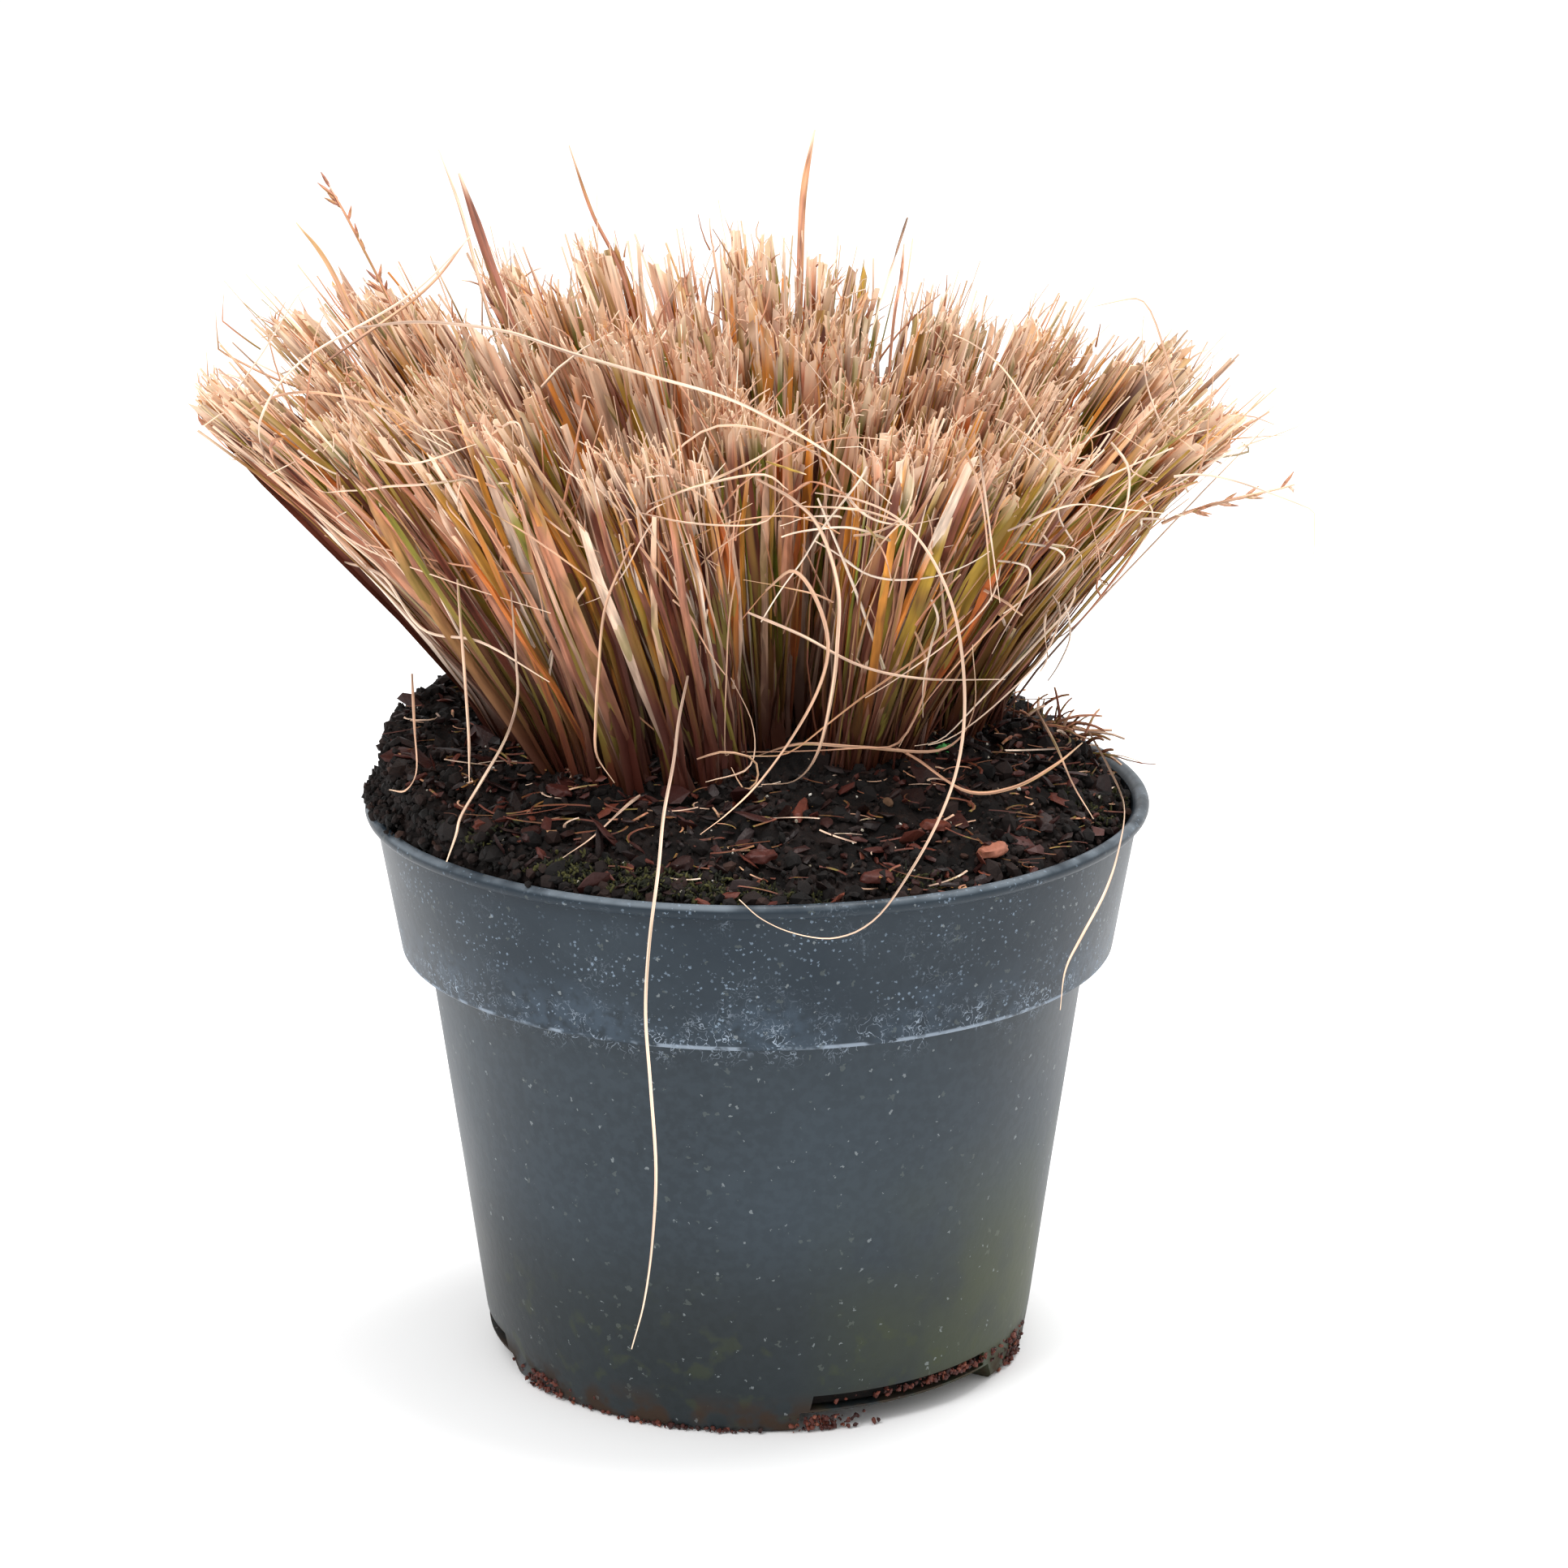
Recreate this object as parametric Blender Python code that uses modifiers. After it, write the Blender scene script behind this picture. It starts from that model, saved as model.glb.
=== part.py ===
"""A clump of ornamental grass, clipped short, in a round plastic nursery pot.

The pot stands on z = 0 with its axis on the Z axis. +X is the clump's right and -Y its front.
All lengths are in metres.
"""

import math
import random

import bmesh
import bpy
from mathutils import Matrix, Vector
from mathutils.bvhtree import BVHTree

# ---- driving dimensions -------------------------------------------------------------------------
SEGMENTS = 60                 # facets round every turned piece
FIT_GAP = 0.0003              # clearance between pieces that touch

# pot
RIM_RADIUS = 0.0950
POT_HEIGHT = 0.1400
WALL = 0.0014
BEAD_HEIGHT = 0.0034          # the thick lip round the mouth
BEAD_REACH = 0.0025
COLLAR_DEPTH = 0.0370         # the wide band below the lip
COLLAR_FOOT_RADIUS = 0.0870
BODY_TOP_RADIUS = 0.0806
FOOT_RADIUS = 0.0664
EDGE_ROUND = 0.0012
FLOOR = 0.0018                # floor thickness over the feet

# drain channels under the floor, open at the side between three feet
CHANNEL_COUNT = 3
CHANNEL_FIRST = math.radians(-57.5)   # middle of the channel at the front right
CHANNEL_WIDTH = math.radians(56)
CHANNEL_HEIGHT = 0.0052
HUB_RADIUS = 0.0280           # the raised middle of the floor
SLOT_WIDTH = math.radians(46)
SLOT_HEIGHT = 0.0032
SLOT_DEPTH = 0.0100

# potting mix
MIX_EDGE_LOW = 0.1378         # height of the mix at the pot wall, front and right
MIX_EDGE_HIGH = 0.1575        # and on the side where it was heaped up
MIX_HIGH_SIDE = math.radians(150)
CROWN_LEVEL = 0.1520          # the level patch that the grass grows from
CROWN_CENTRE = Vector((0.0, 0.017))
CROWN_HALF = Vector((0.066, 0.047))

# grass clump: the blades rise from one ellipse and are clipped on a wider one
ROOT_CENTRE = Vector((0.0, 0.014))
ROOT_HALF = Vector((0.060, 0.044))
TIP_CENTRE = Vector((-0.008, 0.008))
TIP_HALF = Vector((0.125, 0.077))
CLIP_HEIGHT = 0.2460          # height of the clipped top in the middle
CLIP_BACK_RISE = 0.0085
CLIP_SIDE_DROP = 0.0135
CLIP_RIGHT_DROP = 0.0055
FLARE = 1.2                   # above 1, blades rise before they lean out
ROOT_PINCH = 0.86             # a tuft is drawn together at its root

OUTER_TUFTS = 10
INNER_TUFTS = 5
INNER_SHARE = 0.52            # share of the clump's radius that the inner tufts take
CORE_SHARE = 0.05
TUFT_GAP = 0.020              # gap between tufts, as a share of the clump's radius
TUFT_LEVELS = 4

# each outer tuft, from the right-hand side and round by the back: how far out its tips and its
# roots reach, as shares of the two ellipses, and how much higher or lower it was clipped
OUTER_REACH = (0.98, 0.93, 0.97, 0.98, 0.96, 1.00, 0.97, 0.98, 0.97, 0.96)
OUTER_ROOT = (0.92, 1.00, 1.00, 1.00, 1.00, 1.00, 1.06, 1.12, 0.84, 0.90)
OUTER_LIFT = (-0.002, 0.000, 0.002, 0.004, 0.003, 0.000, 0.000, 0.001, -0.001, -0.002)

# loose dead blades, each a route of (x, y, z) points in millimetres, from its upper end
BLADE_WIDTH = 0.0012
ROUTE_STEP = 0.0095           # distance between the points that a loose blade is drawn through
LOOSE_BLADES = {
    "blade_hanging_at_front": (
        (-16, -44, 180), (-18, -54, 172), (-19, -68, 166), (-21, -83, 158), (-22, -95, 149),
        (-24, -101, 134), (-25, -100, 117), (-24, -99, 99), (-23, -98, 79), (-24, -97, 61),
        (-26, -96, 46), (-29, -95, 34)),
    "blade_looped_at_right": (
        (13, -70, 229), (23, -73, 228), (32, -76, 224), (39, -80, 216), (44, -84, 204),
        (46, -87, 188), (45, -90, 174), (41, -94, 162), (34, -99, 150), (26, -103, 140),
        (17, -105, 136), (8, -104, 137), (1, -100, 139), (-4, -95, 142)),
    "blade_looped_in_middle": (
        (0, -70, 232), (8, -73, 228), (14, -76, 222), (18, -77, 209), (18, -73, 195),
        (17, -67, 182), (14, -56, 165), (9, -48, 156), (1, -45, 154)),
    "blade_crossing_in_middle": (
        (2, -59, 204), (8, -65, 210), (13, -69, 205), (16, -68, 194), (14, -62, 182),
        (8, -57, 169), (0, -58, 158), (-7, -62, 152), (-13, -68, 149)),
    "blade_looped_at_left": (
        (-28, -68, 217), (-34, -66, 202), (-36, -60, 185), (-37, -54, 172), (-37, -51, 163),
        (-33, -50, 156)),
    "blade_straight_at_left": ((-69, -40, 202), (-68, -40, 184), (-67, -41, 165), (-67, -42, 154)),
    "blade_at_left_shoulder": (
        (-83, 0, 169), (-82, -10, 158), (-80, -33, 154), (-82, -42, 152), (-86, -38, 151)),
    "blade_over_left_rim": (
        (-56, -52, 202), (-55, -52, 186), (-55, -50, 176), (-58, -48, 166), (-64, -46, 155),
        (-68, -56, 150), (-69, -61, 147), (-71, -66, 142)),
    "blade_on_mix_at_right": (
        (33, -20, 156), (38, -27, 155), (49, -40, 151), (60, -37, 151), (70, -26, 153),
        (78, -9, 154)),
    "blade_on_mix_at_front": ((-27, -50, 153), (-31, -54, 151), (-38, -68, 148), (-44, -76, 146)),
    "blade_short_at_right": ((68, 10, 157), (72, -4, 152), (75, -25, 148), (79, -36, 143)),
    "blade_over_right_rim": (
        (81, 12, 151), (85, -2, 146), (87, -25, 143), (84, -49, 139), (80, -62, 133),
        (74, -75, 127), (70, -79, 120), (69, -78, 110)),
    "blade_across_top": (
        (-93, -15, 256), (-76, -40, 262), (-56, -62, 264), (-41, -72, 261), (-24, -77, 257),
        (-6, -79, 252), (8, -80, 245), (18, -78, 238), (30, -73, 227)),
}

# unclipped stems: foot on the clipped top (x, y), tip (x, y, z), all in millimetres
TALL_STEMS = {
    "tall_stem_back": ((10, 76), (15, 106, 285)),
    "tall_stem_back_left": ((-32, 66), (-47, 84, 284)),
    "tall_stem_left": ((-66, 52), (-79, 72, 285)),
    "tall_stem_left_thick": ((-60, 40), (-73, 57, 281)),
    "dead_seed_stem_left": ((-86, 40), (-106, 60, 279)),
    "tall_stem_far_left": ((-92, 28), (-112, 44, 271)),
    "tall_stem_right": ((33, 30), (36, 42, 266)),
}
STEM_WIDTH = 0.0016
SEED_STEM = ((98, 16, 202), (104, 15, 205), (115, 12, 209), (130, 10, 213))

# bark chips on the mix: (x, y) in millimetres, length, breadth, turn in degrees
CHIP_THICKNESS = 0.0022
CHIP_SEED = 7
CHIPS = (
    (54, -60, 12, 6, 8), (10, -52, 15, 4, 70), (1, -73, 9, 6, 20), (27, -78, 10, 6, -10),
    (-62, -57, 9, 5, 30), (-46, -41, 9, 5, -25), (-17, -77, 8, 5, 50), (41, -54, 8, 5, -35),
    (-52, -62, 8, 5, 75), (67, -42, 9, 6, 40))

PARTS = "clipped_grass_in_pot"
CUTTERS = "cutters"


# ---- scene helpers ------------------------------------------------------------------------------
def clear_scene():
    for obj in list(bpy.data.objects):
        bpy.data.objects.remove(obj, do_unlink=True)


def new_collection(name):
    collection = bpy.data.collections.new(name)
    bpy.context.scene.collection.children.link(collection)
    return collection


def material(name, colour, roughness, metallic=0.0):
    made = bpy.data.materials.new(name)
    made.use_nodes = True
    shader = made.node_tree.nodes["Principled BSDF"]
    shader.inputs["Base Color"].default_value = (*colour, 1.0)
    shader.inputs["Roughness"].default_value = roughness
    shader.inputs["Metallic"].default_value = metallic
    return made


def add_part(name, data, finish):
    obj = bpy.data.objects.new(name, data)
    obj.data.materials.append(finish)
    bpy.data.collections[PARTS].objects.link(obj)
    return obj


def add_cutter(name, data):
    obj = bpy.data.objects.new(name, data)
    obj.hide_render = True
    obj.display_type = "WIRE"
    bpy.data.collections[CUTTERS].objects.link(obj)
    return obj


def mesh_of(name, fill):
    """A mesh made by fill(bm), with its faces pointing out."""
    bm = bmesh.new()
    fill(bm)
    bmesh.ops.recalc_face_normals(bm, faces=bm.faces)
    mesh = bpy.data.meshes.new(name)
    bm.to_mesh(mesh)
    bm.free()
    return mesh


def evaluated_mesh(obj, name):
    """The mesh of obj with its modifiers applied."""
    bpy.context.view_layer.update()
    graph = bpy.context.evaluated_depsgraph_get()
    mesh = bpy.data.meshes.new_from_object(obj.evaluated_get(graph), depsgraph=graph)
    mesh.name = name
    return mesh


def shade_round(mesh, angle=40):
    mesh.shade_smooth()
    mesh.set_sharp_from_angle(angle=math.radians(angle))


# ---- turned pieces and prisms -------------------------------------------------------------------
def profile_mesh(name, profile):
    """An open profile of (radius, height) points at +X, for a Screw modifier."""
    mesh = bpy.data.meshes.new(name)
    points = [(radius, 0.0, height) for radius, height in profile]
    mesh.from_pydata(points, [(i, i + 1) for i in range(len(points) - 1)], [])
    return mesh


def turn(obj):
    """Turns the object's profile about Z into a closed body."""
    screw = obj.modifiers.new("turn", "SCREW")
    screw.axis = "Z"
    screw.angle = math.tau
    screw.steps = SEGMENTS
    screw.render_steps = SEGMENTS
    screw.use_merge_vertices = True
    screw.merge_threshold = 0.00005
    screw.use_smooth_shade = True
    return obj


def cut(obj, cutter, name):
    boolean = obj.modifiers.new(name, "BOOLEAN")
    boolean.operation = "DIFFERENCE"
    boolean.solver = "EXACT"
    boolean.object = cutter
    return boolean


def prism(outline, low, high):
    """A fill function for a flat outline of (x, y) points, extruded from low to high."""

    def fill(bm):
        face = bm.faces.new([bm.verts.new((x, y, low)) for x, y in outline])
        top = bmesh.ops.extrude_face_region(bm, geom=[face])["geom"]
        for vert in top:
            if isinstance(vert, bmesh.types.BMVert):
                vert.co.z = high

    return fill


def arc(radius, start, end, steps):
    """Points on a circle about the Z axis, from the start angle to the end angle."""
    angles = [start + (end - start) * i / steps for i in range(steps + 1)]
    return [(radius * math.cos(a), radius * math.sin(a)) for a in angles]


# ---- the pot ------------------------------------------------------------------------------------
LEDGE = POT_HEIGHT - COLLAR_DEPTH
BEAD_FOOT = POT_HEIGHT - BEAD_HEIGHT
COLLAR_TOP_RADIUS = RIM_RADIUS - BEAD_REACH


def body_radius(height):
    """Outside radius of the tapered body, below the collar."""
    return FOOT_RADIUS + (BODY_TOP_RADIUS - FOOT_RADIUS) * height / LEDGE


def outer_profile():
    """The pot's outside, from the middle of the mouth down to the middle of the foot."""
    lip = EDGE_ROUND * 0.75
    return [
        (0.0, POT_HEIGHT),
        (RIM_RADIUS - lip, POT_HEIGHT),
        (RIM_RADIUS - lip * 0.3, POT_HEIGHT - lip * 0.3),
        (RIM_RADIUS, POT_HEIGHT - lip),
        (RIM_RADIUS, BEAD_FOOT + lip),
        (RIM_RADIUS - lip, BEAD_FOOT),
        (COLLAR_TOP_RADIUS, BEAD_FOOT - EDGE_ROUND * 0.3),
        (COLLAR_FOOT_RADIUS, LEDGE + EDGE_ROUND),
        (COLLAR_FOOT_RADIUS - EDGE_ROUND * 0.3, LEDGE + EDGE_ROUND * 0.3),
        (COLLAR_FOOT_RADIUS - EDGE_ROUND, LEDGE),
        (BODY_TOP_RADIUS, LEDGE),
        (body_radius(EDGE_ROUND), EDGE_ROUND),
        (FOOT_RADIUS - EDGE_ROUND, 0.0),
        (0.0, 0.0),
    ]


def inner_profile(gap=0.0):
    """The pot's inside from the mouth to the floor, set in by gap, as a body that fills it."""
    shift = WALL + gap
    return [
        (0.0, POT_HEIGHT + WALL),
        (COLLAR_TOP_RADIUS - gap, POT_HEIGHT + WALL),
        (COLLAR_TOP_RADIUS - shift, BEAD_FOOT),
        (COLLAR_FOOT_RADIUS - shift, LEDGE + shift + EDGE_ROUND),
        (COLLAR_FOOT_RADIUS - shift - EDGE_ROUND, LEDGE + shift),
        (BODY_TOP_RADIUS - shift, LEDGE + shift),
        (body_radius(FLOOR + gap) - shift, FLOOR + gap),
        (0.0, FLOOR + gap),
    ]


def channel_angles():
    return [CHANNEL_FIRST + math.tau * i / CHANNEL_COUNT for i in range(CHANNEL_COUNT)]


def channel_outline(widen):
    """The hub and three channels in plan, each side moved out by widen."""
    hub = HUB_RADIUS + widen
    reach = RIM_RADIUS
    points = []
    for middle in channel_angles():
        half_near = CHANNEL_WIDTH / 2 + widen / hub
        half_far = CHANNEL_WIDTH / 2 + widen / FOOT_RADIUS
        points += arc(hub, middle + half_near - math.tau / CHANNEL_COUNT, middle - half_near, 4)
        points += arc(reach, middle - half_far, middle + half_far, 6)
    return points


def build_pot(finish):
    channel = add_cutter("channel_cutter", mesh_of(
        "channel_cutter", prism(channel_outline(0.0), -WALL, CHANNEL_HEIGHT)))
    hump = add_cutter("hump_cutter", mesh_of(
        "hump_cutter", prism(channel_outline(WALL), -WALL, CHANNEL_HEIGHT + WALL)))
    cavity = turn(add_cutter("cavity_cutter", profile_mesh("cavity_cutter", inner_profile())))
    cut(cavity, hump, "floor humps")

    pot = turn(add_part("pot", profile_mesh("pot", outer_profile()), finish))
    cut(pot, channel, "drain channels")
    cut(pot, cavity, "cavity")
    for number, middle in enumerate(channel_angles(), 1):
        near, far = FOOT_RADIUS - SLOT_DEPTH, FOOT_RADIUS + SLOT_DEPTH
        outline = arc(far, middle - SLOT_WIDTH / 2, middle + SLOT_WIDTH / 2, 6)
        outline += arc(near, middle + SLOT_WIDTH / 2, middle - SLOT_WIDTH / 2, 6)
        low = CHANNEL_HEIGHT + WALL
        name = f"slot_cutter_{number}"
        slot = add_cutter(name, mesh_of(name, prism(outline, low, low + SLOT_HEIGHT)))
        cut(pot, slot, f"drain slot {number}")
    return pot


# ---- the potting mix ----------------------------------------------------------------------------
MIX_RINGS = (0.0905, 0.080, 0.068, 0.054, 0.040, 0.026, 0.012)


def mix_edge(angle):
    """Height of the mix at the pot wall. It stands highest at the back left."""
    share = (1 + math.cos(angle - MIX_HIGH_SIDE)) / 2
    return MIX_EDGE_LOW + (MIX_EDGE_HIGH - MIX_EDGE_LOW) * share ** 2


def mix_height(x, y):
    """Height of the mix: level under the grass, falling or rising from there to the wall."""
    out = Vector((x, y)) - CROWN_CENTRE
    share_of_crown = math.hypot(out.x / CROWN_HALF.x, out.y / CROWN_HALF.y)
    if share_of_crown <= 1.0:
        return CROWN_LEVEL
    along = out.normalized()
    border = out.length / share_of_crown
    forward = along.dot(CROWN_CENTRE)
    wall = MIX_RINGS[0]
    to_wall = -forward + math.sqrt(forward ** 2 + wall ** 2 - CROWN_CENTRE.length_squared)
    share = min(1.0, (out.length - border) / max(to_wall - border, 0.001))
    edge = mix_edge(math.atan2(y, x))
    return CROWN_LEVEL + (edge - CROWN_LEVEL) * share * (0.4 + 0.6 * share)


def build_mix(finish):
    """The root ball: it fills the pot, and its top is a low mound."""
    filled = inner_profile(FIT_GAP)[2:]
    skin_top = (COLLAR_TOP_RADIUS - WALL - FIT_GAP, BEAD_FOOT)
    crown = [(0.0, CROWN_LEVEL)] + [(radius, CROWN_LEVEL) for radius in reversed(MIX_RINGS)]
    profile = crown + [skin_top] + filled[1:]
    blank = turn(add_cutter("mix_blank", profile_mesh("mix_blank", profile)))
    hump = add_cutter("mix_hump_cutter", mesh_of(
        "mix_hump_cutter",
        prism(channel_outline(WALL + FIT_GAP), -WALL, CHANNEL_HEIGHT + WALL + FIT_GAP)))
    mesh = evaluated_mesh(blank, "potting_mix")
    for vert in mesh.vertices:
        if vert.co.z > BEAD_FOOT + FIT_GAP:
            vert.co.z = mix_height(vert.co.x, vert.co.y)
    mix = add_part("potting_mix", mesh, finish)
    cut(mix, hump, "floor humps")
    return mix


# ---- the grass tufts ----------------------------------------------------------------------------
def clip_height(u, v):
    """Height at which the clump was clipped, at the place (u, v) in its unit circle."""
    return CLIP_HEIGHT + CLIP_BACK_RISE * v - CLIP_SIDE_DROP * u * u - CLIP_RIGHT_DROP * u


def blade_point(u, v, rise, root=1.0, lift=0.0):
    """A point of the clump. (u, v) is a place in the unit circle; rise runs from root to tip.

    An outer tuft draws its roots in or out: root is where a blade at the clump's edge starts.
    """
    radius = math.hypot(u, v)
    drawn = radius
    if radius > INNER_SHARE:
        drawn = INNER_SHARE + (radius - INNER_SHARE) * (root - INNER_SHARE) / (1 - INNER_SHARE)
    pull = drawn / radius if radius else 1.0
    lean = rise ** FLARE
    x_root = ROOT_CENTRE.x + ROOT_HALF.x * u * pull
    y_root = ROOT_CENTRE.y + ROOT_HALF.y * v * pull
    x = x_root + lean * (TIP_CENTRE.x + TIP_HALF.x * u - x_root)
    y = y_root + lean * (TIP_CENTRE.y + TIP_HALF.y * v - y_root)
    low = CROWN_LEVEL + FIT_GAP
    high = clip_height(u, v) + lift
    return Vector((x, y, low + (high - low) * rise))


def wedge_outline(inner, outer, start, end):
    """A wedge of the unit circle, held back from its neighbours by half a gap on each side."""
    inner += TUFT_GAP / 2
    outer -= TUFT_GAP / 2
    near_gap = TUFT_GAP / 2 / inner
    far_gap = TUFT_GAP / 2 / outer
    points = arc(outer, start + far_gap, end - far_gap, 3)
    if inner * (end - start) > 2 * TUFT_GAP:
        points += arc(inner, end - near_gap, start + near_gap, 2)
    else:
        middle = (start + end) / 2
        points.append((inner * math.cos(middle), inner * math.sin(middle)))
    return points


def build_tuft(name, outline, root, lift, finish):
    """A closed fan from the roots to the clipped tips, lofted through a few levels."""
    middle = sum((Vector(point) for point in outline), Vector((0, 0))) / len(outline)

    def fill(bm):
        rings = []
        for level in range(TUFT_LEVELS):
            rise = level / (TUFT_LEVELS - 1)
            draw_in = ROOT_PINCH + (1 - ROOT_PINCH) * min(1.0, rise * 2)
            ring = []
            for point in outline:
                u, v = middle + (Vector(point) - middle) * draw_in
                ring.append(bm.verts.new(blade_point(u, v, rise, root, lift)))
            rings.append(ring)
        count = len(outline)
        for low, high in zip(rings, rings[1:]):
            for i in range(count):
                j = (i + 1) % count
                bm.faces.new((low[i], low[j], high[j], high[i]))
        bm.faces.new(list(reversed(rings[0])))
        bm.faces.new(rings[-1])

    mesh = mesh_of(name, fill)
    shade_round(mesh, 30)
    return add_part(name, mesh, finish)


def build_tufts(finish):
    step = math.tau / OUTER_TUFTS
    for i in range(OUTER_TUFTS):
        outline = wedge_outline(INNER_SHARE, OUTER_REACH[i], (i - 0.5) * step, (i + 0.5) * step)
        build_tuft(f"tuft_outer_{i + 1:02d}", outline, OUTER_ROOT[i], OUTER_LIFT[i], finish)
    step = math.tau / INNER_TUFTS
    for i in range(INNER_TUFTS):
        outline = wedge_outline(CORE_SHARE, INNER_SHARE, (i - 0.25) * step, (i + 0.75) * step)
        build_tuft(f"tuft_inner_{i + 1:02d}", outline, 1.0, 0.0, finish)


# ---- loose blades and unclipped stems -----------------------------------------------------------
def smooth_route(points, step):
    """Points about a step apart on a smooth curve through the route's own points."""
    ends = [points[0] * 2 - points[1]] + list(points) + [points[-1] * 2 - points[-2]]
    smooth = []
    for before, start, end, after in zip(ends, ends[1:], ends[2:], ends[3:]):
        pieces = max(1, round((end - start).length / step))
        for i in range(pieces):
            t = i / pieces
            bend = (end - before) * t + (before * 2 - start * 5 + end * 4 - after) * t ** 2
            bend += (start * 3 - before - end * 3 + after) * t ** 3
            smooth.append(start + bend * 0.5)
    smooth.append(points[-1].copy())
    return smooth


def add_strand(name, points, width, finish):
    """A thin blade or stem: a tube with closed ends along a route."""
    curve = bpy.data.curves.new(name, "CURVE")
    curve.dimensions = "3D"
    curve.bevel_depth = width / 2
    curve.bevel_resolution = 0
    curve.use_fill_caps = True
    spline = curve.splines.new("POLY")
    spline.points.add(len(points) - 1)
    for place, point in zip(spline.points, points):
        place.co = (*point, 1.0)
    return add_part(name, curve, finish)


def in_metres(points):
    return [Vector(point) / 1000 for point in points]


def build_loose_blades(finish):
    for name, points in LOOSE_BLADES.items():
        add_strand(name, smooth_route(in_metres(points), ROUTE_STEP), BLADE_WIDTH, finish)
    add_strand("seed_stem_right", in_metres(SEED_STEM), STEM_WIDTH, finish)
    for name, (foot, tip) in TALL_STEMS.items():
        (x, y), top = in_metres((foot, tip))
        u, v = (x - TIP_CENTRE.x) / TIP_HALF.x, (y - TIP_CENTRE.y) / TIP_HALF.y
        base = Vector((x, y, clip_height(u, v) + max(OUTER_LIFT) + STEM_WIDTH))
        middle = base.lerp(top, 0.55) + Vector((0, 0, 0.002))
        add_strand(name, smooth_route([base, middle, top], ROUTE_STEP), STEM_WIDTH, finish)


# ---- bark chips ---------------------------------------------------------------------------------
def build_chip(name, spot, length, breadth, turn, surface, chance, finish):
    """A flat split chip with uneven edges, lying on the mix."""

    def fill(bm):
        corners = []
        for i in range(7):
            angle = math.tau * i / 7
            reach = 0.5 * chance.uniform(0.82, 1.0)
            corners.append((length * reach * math.cos(angle), breadth * reach * math.sin(angle)))
        prism(corners, 0.0, CHIP_THICKNESS)(bm)
        for vert in bm.verts:
            if vert.co.z > 0:
                vert.co.x *= 0.8
                vert.co.y *= 0.7

    mesh = mesh_of(name, fill)
    hit, normal, _, _ = surface.ray_cast(Vector((*spot, POT_HEIGHT * 2)), Vector((0, 0, -1)))
    lie = normal.to_track_quat("Z", "Y").to_matrix().to_4x4()
    mesh.transform(Matrix.Translation(hit) @ lie @ Matrix.Rotation(turn, 4, "Z"))
    deepest = 0.0
    for vert in mesh.vertices:
        above = surface.ray_cast(vert.co + Vector((0, 0, 0.05)), Vector((0, 0, -1)))[0]
        if above:
            deepest = max(deepest, above.z - vert.co.z)
    mesh.transform(Matrix.Translation((0, 0, deepest + FIT_GAP)))
    return add_part(name, mesh, finish)


def build_chips(mix, finish):
    chance = random.Random(CHIP_SEED)
    bpy.context.view_layer.update()
    surface = BVHTree.FromObject(mix, bpy.context.evaluated_depsgraph_get())
    for number, (x, y, length, breadth, turn) in enumerate(CHIPS, 1):
        build_chip(f"bark_chip_{number:02d}", (x / 1000, y / 1000), length / 1000,
                   breadth / 1000, math.radians(turn), surface, chance, finish)


def main():
    clear_scene()
    new_collection(PARTS)
    new_collection(CUTTERS)
    plastic = material("pot_plastic", (0.055, 0.070, 0.085), 0.45)
    peat = material("potting_mix", (0.020, 0.013, 0.010), 0.95)
    straw = material("grass_blades", (0.50, 0.30, 0.16), 0.70)
    dead = material("loose_blades", (0.62, 0.42, 0.27), 0.70)
    bark = material("bark_chips", (0.16, 0.055, 0.030), 0.85)
    build_pot(plastic)
    mix = build_mix(peat)
    build_tufts(straw)
    build_loose_blades(dead)
    build_chips(mix, bark)


main()
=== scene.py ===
# %% [markdown]
# # A clipped clump of ornamental grass in its nursery pot
# The object is a potted sedge at the end of winter: a dark plastic pot, a mound of bark mix, and a
# few thousand dry blades cut level with shears. The construction is already settled in a packed
# frame of plain solids. This lesson dresses that frame, so every size below starts from its boxes.

# %% Load the frame
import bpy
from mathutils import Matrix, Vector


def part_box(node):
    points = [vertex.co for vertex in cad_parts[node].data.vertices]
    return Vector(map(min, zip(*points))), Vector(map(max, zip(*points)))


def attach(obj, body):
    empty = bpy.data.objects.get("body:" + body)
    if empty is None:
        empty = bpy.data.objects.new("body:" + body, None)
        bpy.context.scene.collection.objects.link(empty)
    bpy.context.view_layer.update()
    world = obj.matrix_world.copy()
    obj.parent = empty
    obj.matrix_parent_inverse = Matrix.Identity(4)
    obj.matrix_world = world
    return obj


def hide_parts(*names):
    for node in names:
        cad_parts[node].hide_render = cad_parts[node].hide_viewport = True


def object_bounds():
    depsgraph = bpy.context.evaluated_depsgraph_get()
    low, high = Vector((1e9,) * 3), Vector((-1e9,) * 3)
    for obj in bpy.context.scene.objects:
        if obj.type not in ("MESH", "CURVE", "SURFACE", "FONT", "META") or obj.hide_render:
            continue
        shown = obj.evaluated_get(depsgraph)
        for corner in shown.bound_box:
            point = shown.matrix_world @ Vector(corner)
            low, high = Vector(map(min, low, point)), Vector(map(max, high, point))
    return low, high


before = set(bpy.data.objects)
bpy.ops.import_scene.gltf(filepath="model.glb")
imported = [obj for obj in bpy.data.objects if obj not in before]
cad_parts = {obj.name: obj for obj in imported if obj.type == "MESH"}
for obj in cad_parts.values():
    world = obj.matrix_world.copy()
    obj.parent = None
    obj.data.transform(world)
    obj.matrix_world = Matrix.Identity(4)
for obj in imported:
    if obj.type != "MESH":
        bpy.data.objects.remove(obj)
cad_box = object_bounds()
print("frame nodes:", len(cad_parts), "box:", [tuple(corner) for corner in cad_box])

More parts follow.
